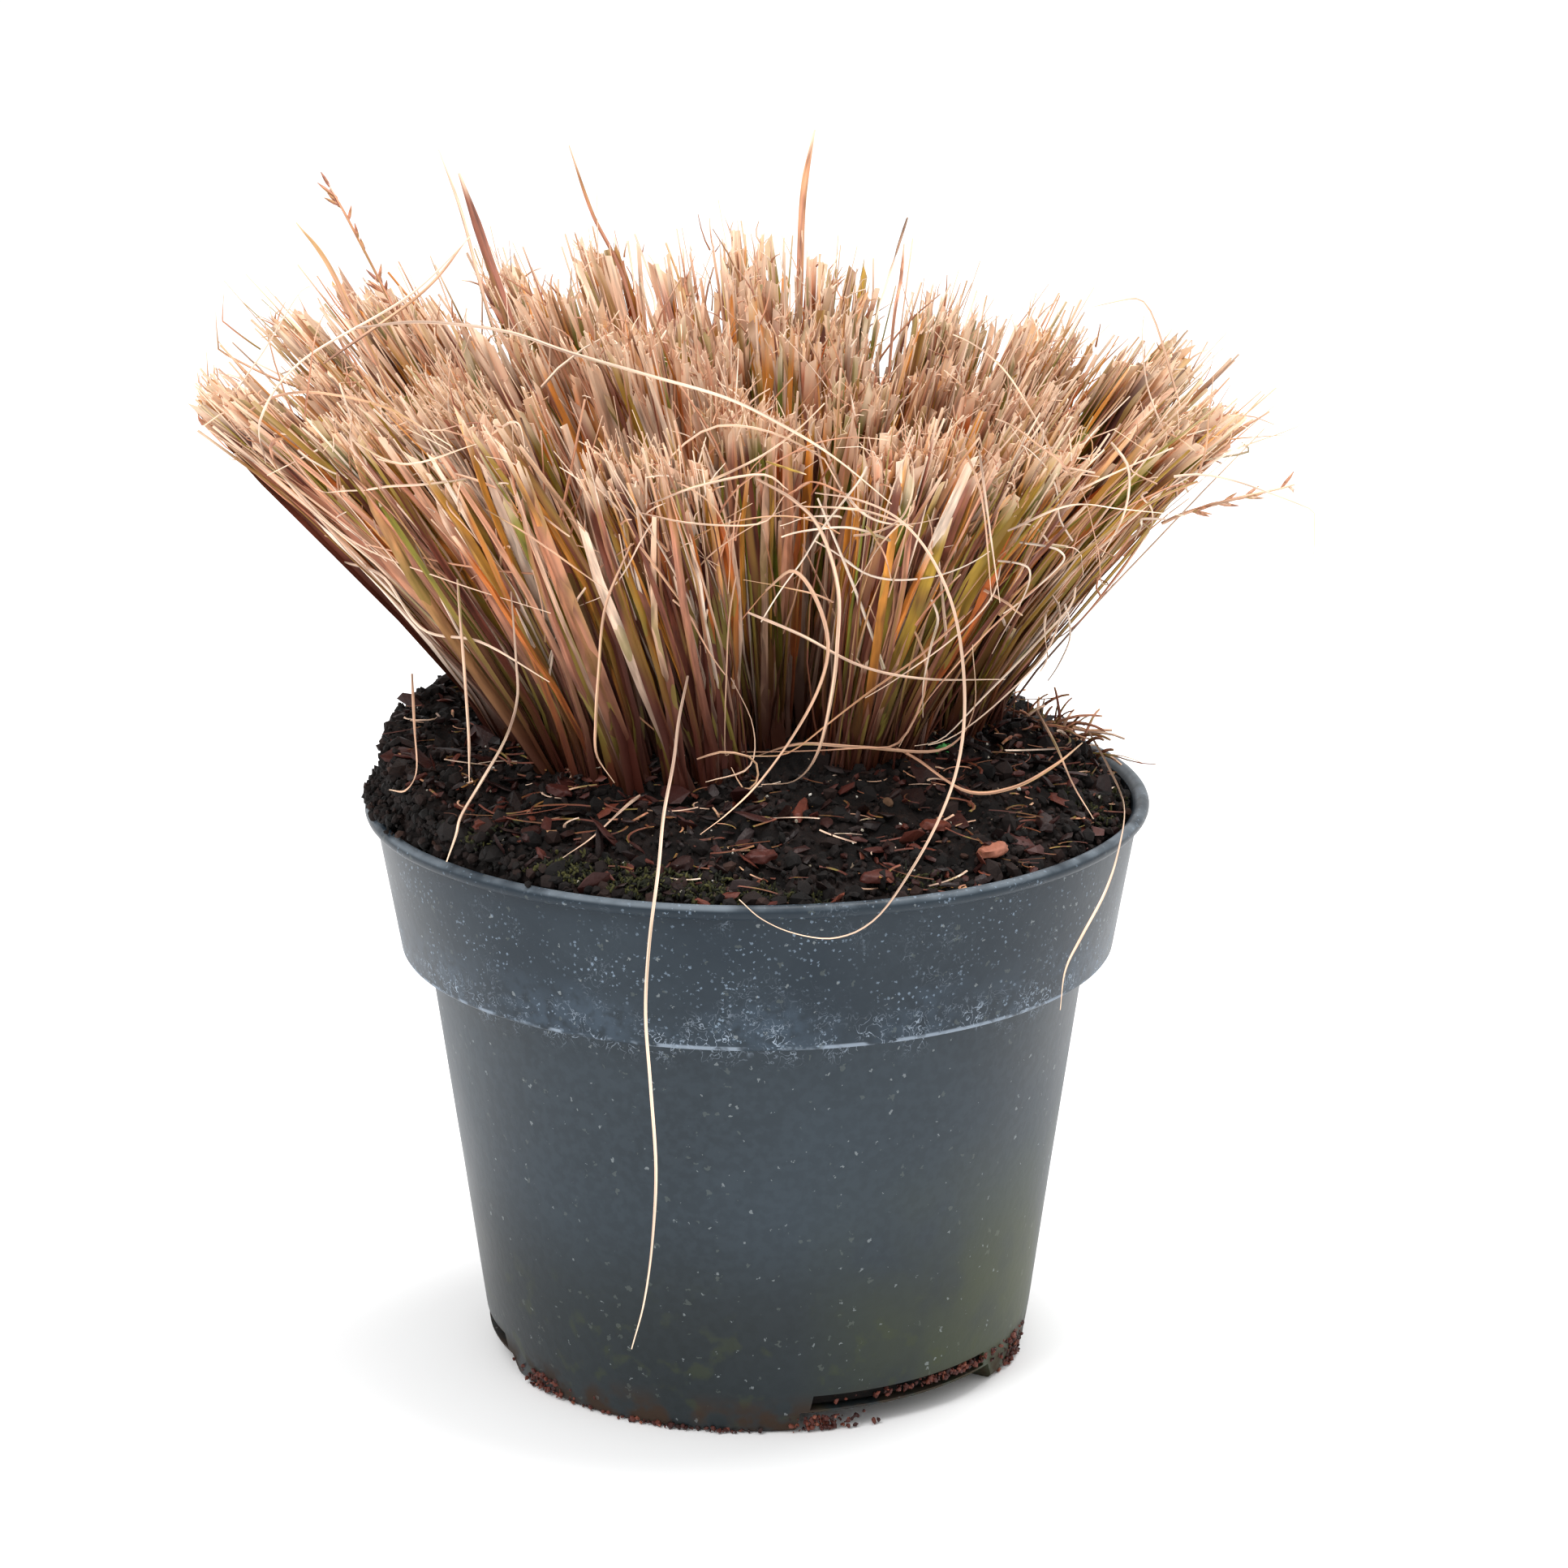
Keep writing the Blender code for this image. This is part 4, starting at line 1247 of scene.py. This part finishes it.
tufts = [build_tuft(f"tuft_outer_{i + 1:02d}", 36 * i, 18.5, INNER_SHARE, OUTER_REACH[i],
                    OUTER_ROOT[i], OUTER_BLADES) for i in range(10)]
tufts += [build_tuft(f"tuft_inner_{i + 1:02d}", 72 * i + 18, 36.5, 0.03, INNER_SHARE, 1.0,
                     INNER_BLADES) for i in range(5)]
all_paths = np.concatenate([paths for _, paths in tufts])
print("blades:", len(all_paths), "triangles:", sum(triangles(piece) for piece, _ in tufts))

# %% [markdown]
# ### Frayed tips and fine hairs
# Shears bruise dry leaves, and every cut end splits into pale fibres. The oldest leaves have
# shrunk to curled threads that hang over the front. Both are the same swept strips, only thin.


# %% Fibres at the cut ends
def build_fringe(count=4200, rings=4):
    """Fine fibres that split off the cut ends."""
    chosen = chance.integers(0, len(all_paths), count)
    ends = all_paths[chosen, -1]
    ahead = unit(ends - all_paths[chosen, -2])
    start = ends - ahead * 1.5 * MM + chance.normal(0, 0.7 * MM, (count, 3))
    drift = unit(ahead + chance.normal(0, 0.36, (count, 3)))
    curl = chance.normal(0, 0.34, (count, 3))
    length = np.clip(chance.lognormal(1.36, 0.45, count), 2, 14) * MM
    widths = tapered(0.22, 0.6, count, rings, 0.4)
    return sweep_strips("frayed_tips", sprout(start, length, drift, curl, rings), widths,
                        chance.uniform(0.28, 0.72, count), 0.2,
                        thickness=0.12 * MM, low=0.82, high=0.99)


def build_fine_blades(count=1700, rings=6):
    """Thin blades between the broad ones, mostly near the outside."""
    angle = chance.uniform(0, math.tau, count)
    u, v = polar(np.maximum(chance.beta(4, 1.4, count), 0.1), angle).T
    roots, nearest = gather(root_of(u, v, 0.98), 0.6)
    u, v = bunch(u, v, nearest, 1.0)
    rise = np.clip(shoot_rise[nearest] + chance.normal(0.98, 0.06, count), 0.5, 1.09)
    paths = blade_paths(u, v, roots, rise, rings)
    paths += chance.normal(0, 2.2 * MM, (count, 1, 3)) * np.linspace(0, 1, rings)[:, None]
    widths = tapered(0.45, 1.1, count, rings, 0.6)
    tints = np.where(chance.uniform(0, 1, count) < 0.3, chance.uniform(0.5, 0.74, count),
                     pick_tints(count, nearest))
    return sweep_strips("fine_blades", paths, widths, tints, 0.25,
                        twist=chance.normal(0, 1.5, count), thickness=0.2 * MM)


def build_strays(count=620, rings=5):
    """Split pieces that leave their blades part of the way up and cross the others."""
    chosen = chance.integers(0, len(all_paths), count)
    level = chance.integers(2, 5, count)
    start = all_paths[chosen, level]
    outer = np.linalg.norm((start[:, :2] - TIP_CENTRE) / TIP_HALF, axis=1)
    ahead = unit(start - all_paths[chosen, level - 1])
    drift = unit(ahead + chance.normal(0, 0.3, (count, 3)) * (1.0, 0.7, 0.3))
    start = start + unit(start * (1, 1, 0)) * 2 * MM * outer[:, None]
    length = chance.uniform(12, 42, count) * MM
    paths = sprout(start, length, drift, chance.normal(0, 0.12, (count, 3)), rings)
    tops = clip_height(*((paths[:, -1, :2] - TIP_CENTRE) / TIP_HALF).T) + 7 * MM
    over = np.maximum(paths[:, -1, 2] - tops, 0)
    paths[..., 2] -= over[:, None] * np.linspace(0, 1, rings)
    widths = tapered(0.4, 1.0, count, rings, 0.5)
    return sweep_strips("stray_blades", paths, widths, chance.uniform(0.36, 0.74, count),
                        0.3, thickness=0.18 * MM, low=0.6, high=0.97)


fringe = build_fringe()
fine = build_fine_blades()
print("stray blades:", triangles(build_strays()))
print("fringe:", triangles(fringe), "fine blades:", triangles(fine))

# %% [markdown]
# ## Loose blades and stems
# Old blades have come loose and hang over the front and the rim; each is a solid of its own in the
# frame. The same sweep draws them, along a smooth curve through a few places, with a slow twist so
# that they catch light on one stretch and go dark on the next. A curve object with a flat bevel
# would also do, but could not taper, fold and twist together.

# %% Loose blades of the frame
# Each has its tint, then the places that it passes, in millimetres.
LOOSE_BLADES = {
    "blade_hanging_at_front": (0.65, (-16, -44, 180), (-18, -54, 172), (-19, -68, 166),
        (-21, -83, 158), (-22, -95, 149), (-24, -101, 134), (-25, -100, 117), (-24, -99, 99),
        (-23, -98, 79), (-24, -97, 61), (-26, -96, 46), (-29, -95, 34)),
    "blade_looped_at_right": (0.61, (13, -70, 229), (23, -73, 228), (32, -76, 224), (39, -80, 216),
        (44, -84, 204), (46, -87, 188), (45, -90, 174), (41, -94, 162), (34, -99, 150),
        (26, -103, 140), (17, -105, 136), (8, -104, 137), (1, -100, 139), (-4, -95, 142)),
    "blade_looped_in_middle": (0.59, (0, -70, 232), (8, -73, 228), (14, -76, 222), (18, -77, 209),
        (18, -73, 195), (17, -67, 182), (14, -56, 165), (9, -48, 156), (1, -45, 154)),
    "blade_crossing_in_middle": (0.56, (2, -59, 204), (8, -65, 210), (13, -69, 205),
        (16, -68, 194), (14, -62, 182), (8, -57, 169), (0, -58, 158), (-7, -62, 152),
        (-13, -68, 149)),
    "blade_looped_at_left": (0.55, (-28, -68, 217), (-34, -66, 202), (-36, -60, 185),
        (-37, -54, 172), (-37, -51, 163), (-33, -50, 156)),
    "blade_straight_at_left": (0.60, (-69, -40, 202), (-68, -40, 184), (-67, -41, 165),
        (-67, -42, 154)),
    "blade_at_left_shoulder": (0.57, (-83, 0, 169), (-82, -10, 158), (-80, -33, 154),
        (-82, -42, 152), (-86, -38, 151)),
    "blade_over_left_rim": (0.63, (-56, -52, 202), (-55, -52, 186), (-55, -50, 176),
        (-58, -48, 166), (-64, -46, 155), (-68, -56, 150), (-69, -61, 147), (-71, -66, 142)),
    "blade_on_mix_at_right": (0.52, (33, -20, 156), (38, -27, 155), (49, -40, 151), (60, -37, 151),
        (70, -26, 153), (78, -9, 154)),
    "blade_on_mix_at_front": (0.62, (-27, -50, 153), (-31, -54, 151), (-38, -68, 148),
        (-44, -76, 146)),
    "blade_short_at_right": (0.58, (68, 10, 157), (72, -4, 152), (75, -25, 148), (79, -36, 143)),
    "blade_over_right_rim": (0.62, (81, 12, 151), (85, -2, 146), (87, -25, 143), (84, -49, 139),
        (80, -62, 133), (74, -75, 127), (70, -79, 120), (69, -78, 110)),
    "blade_across_top": (0.63, (-93, -15, 256), (-76, -40, 262), (-56, -62, 264), (-41, -72, 261),
        (-24, -77, 257), (-6, -79, 252), (8, -80, 245), (18, -78, 238), (30, -73, 227)),
}


def lone_strip(name, points, width, tint, twist=2.0, low=0.4, ends=(0.7, 0.3), node=None):
    """A single blade through a few places in millimetres."""
    given = np.array(points, dtype=float) * MM
    length = np.linalg.norm(np.diff(given, axis=0), axis=1).sum()
    rings = max(8, round(length / (2.4 * MM)))
    shape = np.interp(np.linspace(0, 1, rings), [0, 0.1, 0.75, 1], [ends[0], 1, 0.9, ends[1]])
    facing = chance.normal(0, 0.4, (1, 3)) + (0.0, -1.0, 0.4)
    return sweep_strips(name, bend_through(given, rings)[None], width * MM * shape[None],
                        np.array([tint]), 0.35, facing, twist, 0.22 * MM,
                        low=low, node=node)


for node, (tint, *points) in LOOSE_BLADES.items():
    width = chance.uniform(0.7, 0.95)
    lone_strip("loose_" + node, points, width, tint, chance.uniform(-3, 3), node=node)
print("loose blades:", len(LOOSE_BLADES))


# %% Stems that the shears missed
# Each has its width in millimetres and its tint, then its places.
TALL_STEMS = {
    "tall_stem_back": (1.9, 0.42, (10, 66, 215), (11, 78, 250), (12, 92, 270), (15, 106, 285)),
    "tall_stem_back_left": (1.0, 0.34, (-22, 50, 210), (-32, 66, 250), (-41, 76, 268),
        (-47, 84, 284)),
    "tall_stem_left": (0.9, 0.60, (-52, 38, 205), (-66, 52, 247), (-73, 64, 270), (-79, 72, 285)),
    "tall_stem_left_thick": (2.6, 0.22, (-46, 26, 200), (-60, 40, 246), (-67, 50, 265),
        (-73, 57, 281)),
    "dead_seed_stem_left": (0.9, 0.40, (-66, 26, 205), (-86, 40, 245), (-99, 52, 268),
        (-106, 60, 279)),
    "tall_stem_far_left": (1.5, 0.50, (-72, 18, 205), (-92, 28, 240), (-104, 38, 262),
        (-112, 44, 271)),
    "tall_stem_right": (1.1, 0.44, (30, 22, 215), (33, 30, 248), (35, 37, 258), (36, 42, 266)),
}
SCALE_LENGTH = 4.5 * MM
SEED_STEM = ((98, 16, 202), (104, 15, 205), (115, 12, 209), (130, 10, 213))


def build_spikelets(name, points, count, tints):
    """Short scales that clasp a stem near its end."""
    path = np.array(points) * MM
    share = np.sort(chance.uniform(0.35, 1.0, count))
    marks = np.linspace(0, 1, len(path))
    starts = np.stack([np.interp(share, marks, column) for column in path.T], axis=1)
    ahead = unit(path[-1] - path[len(path) // 2])
    drift = unit(ahead + chance.normal(0, 0.35, (count, 3)))
    reach = SCALE_LENGTH * chance.uniform(0.6, 1.3, count)
    widths = 0.9 * MM * np.tile([0.5, 1.0, 0.8, 0.2], (count, 1))
    return sweep_strips(name, sprout(starts, reach, drift, np.zeros((1, 3)), 4), widths,
                        chance.uniform(*tints, count), 0.4,
                        thickness=0.2 * MM, low=0.5, high=0.9)


for node, (width, tint, *points) in TALL_STEMS.items():
    lone_strip("fine_" + node, points, width, tint, chance.uniform(-1, 1), 0.3, (1.0, 0.25), node)
lone_strip("fine_seed_stem_right", SEED_STEM, 0.9, 0.56, 0.5, 0.5, (1.0, 0.5), "seed_stem_right")
build_spikelets("seeds_right", SEED_STEM, 16, (0.4, 0.68))
build_spikelets("seeds_left", TALL_STEMS["dead_seed_stem_left"][2:], 22, (0.25, 0.5))
print("stems:", len(TALL_STEMS) + 1)


# %% Blades that lie across the clump
CROSSING_BLADES = (
    ((-121, -18, 235), (-112, -16, 240), (-101, -22, 242), (-84, -40, 242), (-68, -63, 238)),
    ((-92, -50, 237), (-79, -58, 233), (-62, -64, 239)),
    ((-61, -60, 223), (-50, -60, 216), (-33, -58, 203)),
    ((-26, -68, 224), (-14, -70, 222), (1, -70, 222), (6, -70, 228)),
    ((-24, -68, 226), (-13, -72, 231), (1, -74, 234), (7, -72, 230)),
    ((9, -70, 226), (23, -70, 225), (35, -65, 220)),
    ((-2, -52, 197), (10, -49, 191), (24, -43, 182), (39, -36, 177), (59, -14, 171)),
    ((0, -20, 154), (10, -31, 160), (25, -27, 158), (44, -22, 156), (51, -27, 167), (50, -39, 186)),
    ((-14, -44, 160), (-8, -45, 162), (-1, -44, 160), (0, -44, 155), (-3, -45, 153),
     (-6, -44, 158)),
    ((-6, -50, 181), (-1, -44, 168), (-2, -44, 158), (-12, -46, 155)),
    ((2, -74, 237), (11, -74, 234)),
    ((47, -58, 236), (51, -58, 224), (54, -45, 198)),
    ((50, -58, 236), (56, -43, 197)),
    ((57, -52, 216), (71, -52, 222), (84, -43, 219), (102, -38, 216)),
    ((81, -40, 234), (85, -42, 228), (84, -43, 218), (79, -44, 208)),
    ((-114, -24, 226), (-114, -32, 238), (-106, -14, 248), (-83, 15, 258), (-69, 45, 268)),
    ((-110, -22, 222), (-94, -27, 208), (-71, -41, 202), (-47, -52, 197)),
    ((-98, -6, 198), (-88, -17, 197), (-78, -28, 187), (-64, -36, 186), (-48, -42, 178)),
    ((-101, -12, 247), (-80, 20, 258), (-70, 50, 267)),
    ((36, 20, 276), (33, 36, 262), (27, 22, 246)),
)
GREEN_BLADE = 11
for number, points in enumerate(CROSSING_BLADES, 1):
    width = chance.uniform(0.4, 0.8)
    tint = 0.90 if number == GREEN_BLADE else chance.uniform(0.5, 0.66)
    lone_strip(f"crossing_blade_{number:02d}", points, width, tint, chance.uniform(-2, 2), 0.45)
print("crossing blades:", len(CROSSING_BLADES))


# %% Curled threads
MIX_TOP = 152 * MM
THREAD_FLOOR = 158 * MM
THREAD_CEILING = CLIP_HEIGHT + 14 * MM


def outside_clump(places):
    """Moves places that fall inside the clump out to its side."""
    x, y, z = places.T
    rise = np.clip((z - MIX_TOP) / (CLIP_HEIGHT - MIX_TOP), 0.02, 1) ** FLARE
    centre = ROOT_CENTRE + (TIP_CENTRE - ROOT_CENTRE) * rise[:, None]
    half = ROOT_HALF + (TIP_HALF - ROOT_HALF) * rise[:, None]
    spot = (places[:, :2] - centre) / half
    share = np.linalg.norm(spot, axis=1)
    wanted = np.clip(share, 1.02, 1.09)
    push = np.where(z < clip_height(*spot.T), wanted / np.maximum(share, 0.2), 1.0)
    moved = places.copy()
    moved[:, :2] = centre + spot * push[:, None] * half
    return moved


def build_threads(count=120, rings=20):
    """Thin bleached blades that curl over the outside of the clump."""
    u, v = polar(1.0, np.radians(chance.uniform(150, 390, count))).T
    rise = chance.uniform(0.5, 1.0, count)
    path = [blade_paths(u, v, root_of(u, v, 1.0), rise, 5)[:, -1]]
    heading = unit(chance.normal(0, 1, (count, 3)) * (1.0, 0.5, 0.8))
    axis = unit(chance.normal(0, 1, (count, 3)))
    step = np.clip(chance.lognormal(3.8, 0.45, count), 18, 105) * MM / rings
    bend = chance.normal(0, 0.075, count)
    for _ in range(rings - 1):
        path.append(outside_clump(path[-1] + heading * step[:, None]))
        turned = heading + np.cross(axis, heading) * bend[:, None] + (0, 0, -0.025)
        heading = unit(turned + chance.normal(0, 0.05, (count, 3)))
    paths = np.stack(path, axis=1)
    paths[..., 2] = np.clip(paths[..., 2], THREAD_FLOOR, THREAD_CEILING)
    for _ in range(2):
        paths[:, 1:-1] = (paths[:, :-2] + paths[:, 1:-1] * 2 + paths[:, 2:]) / 4
    widths = tapered(0.35, 0.75, count, rings, 0.5)
    return sweep_strips("curled_threads", paths, widths, chance.uniform(0.4, 0.73, count),
                        0.3, twist=chance.normal(0, 2, count),
                        thickness=0.15 * MM, low=0.5, high=0.97)


threads = build_threads()
print("curled threads:", triangles(threads), "triangles")

# %% [markdown]
# ## What lies on the mix
# Broken straw and root hair lie across the mound, moss has started along the rim where the mix
# stays wet, and one seedling has come up at the right. A tuft of dead stalks stands behind it.
# These small things tell the eye how large the pot is.


# %% Straw, root hairs and dead stalks
def build_litter(count=460, rings=7):
    flat = spread_on_mound(count, 0.35, 0.97)
    heading = chance.uniform(0, math.tau, count)
    length = np.clip(chance.lognormal(1.9, 0.55, count), 2.5, 26) * MM
    bend = chance.normal(0, 0.8, count)
    along = np.linspace(-0.5, 0.5, rings)
    lying = polar(length[:, None] * along, heading[:, None] + bend[:, None] * along)
    rise = np.abs(chance.normal(0, 0.12, count))[:, None] * length[:, None] * (along + 0.5)
    paths = np.concatenate([lying, rise[..., None]], axis=2) + settle(flat, 1.1 * MM)[:, None]
    reach = np.linalg.norm(paths[..., :2], axis=2, keepdims=True)
    paths[..., :2] *= np.minimum(1, MIX_RADIUS / np.maximum(reach, 1e-6))
    widths = tapered(0.25, 0.8, count, rings, 1.0)
    tints = np.where(chance.uniform(0, 1, count) < 0.75, chance.uniform(0.0, 0.15, count),
                     chance.uniform(0.4, 0.72, count))
    return sweep_strips("straw_on_mix", paths, widths, tints, 0.3,
                        (0.0, -0.2, 1.0), thickness=0.2 * MM, low=0.3, high=0.8)


def build_dead_stalks(count=70, rings=6):
    """The low tuft of dead stalks at the right of the clump."""
    x = chance.normal(70, 6.5, count) * MM
    y = chance.normal(22, 6.0, count) * MM
    foot = np.array([(a, b, ground(a, b)) for a, b in zip(x, y)])
    lean = unit(chance.normal(0, 0.7, (count, 3)) + (0.35, -0.35, 0.75))
    length = chance.uniform(5, 19, count) * MM
    paths = sprout(foot, length, lean, np.array([[0, 0, -0.35]]), rings)
    paths[..., 2] = np.maximum(paths[..., 2], foot[:, None, 2] - 2 * MM)
    widths = tapered(0.4, 1.2, count, rings, 0.5)
    return sweep_strips("dead_stalks_at_right", paths, widths, chance.uniform(0.1, 0.7, count),
                        0.3, thickness=0.2 * MM, low=0.1, high=0.95)


litter = build_litter()
stalks = build_dead_stalks()
print("straw:", triangles(litter), "dead stalks:", triangles(stalks))


# %% Mix spilt over the rim
def build_spill(count=230):
    """Crumbs heaped on the rim at the left, where the mound stands highest."""
    angle = np.radians(chance.normal(186, 13, count))
    reach = RIM_RADIUS - np.abs(chance.normal(0, 2.6, count)) * MM - 0.6 * MM
    height = POT_HEIGHT + chance.uniform(-0.5, 1.0, count) * MM + (RIM_RADIUS - reach) * 0.7
    places = np.column_stack([polar(reach, angle), height])
    sizes = lump_sizes(count, 0.4, 1.5, 0.5, 1.1)
    return scatter_lumps("crumbs_on_rim", places, sizes, random_turns(count),
                         chance.beta(1.4, 3.0, count), crumb_finish)


print("spilt crumbs:", triangles(build_spill()))


# %% Dirt at the foot of the pot
# Each heap has its middle and spread in degrees, its heights in millimetres, and its crumbs.
FOOT_DIRT = ((-44, 22, 7.2, 8.8, 190), (-21, 7, 0.4, 9.0, 200), (-76, 8, 0.4, 4.0, 90),
             (-142, 10, 0.3, 5.0, 110), (-108, 26, 0.2, 1.0, 60))


def build_foot_dirt():
    """Mix that has washed out of the drain slots and sticks to the foot."""
    heaps = []
    for middle, spread, low, high, count in FOOT_DIRT:
        heaps.append([np.radians(chance.normal(middle, spread / 2, count)),
                      chance.uniform(low, high, count) * MM])
    angle, height = np.concatenate(heaps, axis=1)
    count = len(angle)
    reach = FOOT_RADIUS + height * 0.09 + chance.uniform(-0.9, 0.5, count) * MM
    sizes = lump_sizes(count, 0.25, 0.8, 0.5, 1.3)
    height = np.maximum(height, sizes.max(axis=1) + 0.1 * MM)
    places = np.column_stack([polar(reach, angle), height])
    tints = chance.uniform(0.3, 0.95, count)
    return scatter_lumps("dirt_at_foot", places, sizes, random_turns(count), tints, bark_finish)


print("dirt at the foot:", triangles(build_foot_dirt()))


# %% Moss and a seedling
MOSS_STOPS = [(0.0, srgb(16, 19, 9)), (0.5, srgb(36, 38, 17)), (1.0, srgb(76, 74, 34))]
# Each patch has its middle and spread in millimetres, and its number of tips.
MOSS_PATCHES = (
    (-40, -76, 7, 380), (-24, -83, 8, 520), (-8, -86, 7, 420), (8, -87, 5, 180),
    (83, -22, 6, 300), (86, -4, 5, 200), (-66, -58, 5, 160), (40, -76, 5, 120))
LEAF_STOPS = [(0.0, srgb(24, 112, 44)), (1.0, srgb(70, 160, 80))]


def build_moss():
    flat = [chance.normal((x, y), (spread, spread * 0.4), (count, 2)) * MM
            for x, y, spread, count in MOSS_PATCHES]
    flat = np.concatenate(flat)
    reach = np.linalg.norm(flat, axis=1, keepdims=True)
    flat *= np.minimum(1, 0.985 * MIX_RADIUS / reach)
    count = len(flat)
    sizes = chance.uniform(0.5, 1.3, (count, 1)) * MM * np.array([[0.3, 0.3, 0.95]])
    return scatter_lumps("moss", settle(flat, 0.7 * MM), sizes, lying_turns(count, 0.7),
                         chance.uniform(0, 1, count), tinted_finish("moss", MOSS_STOPS, 0.8, 0.2))


def build_seedling(count=9):
    """A tiny weed: a few round leaves on one spot."""
    flat = chance.normal((44, -12), 1.3, (count, 2)) * MM
    sizes = chance.uniform(0.7, 1.1, (count, 1)) * MM * np.array([[1.0, 0.8, 0.2]])
    places = settle(flat, chance.uniform(1.0, 3.0, count) * MM)
    return scatter_lumps("seedling", places, sizes, lying_turns(count, 0.5),
                         chance.uniform(0, 1, count), tinted_finish("green_leaf", LEAF_STOPS, 0.5),
                         0.1)


moss = build_moss()
seedling = build_seedling()
print("moss:", triangles(moss), "seedling:", triangles(seedling))
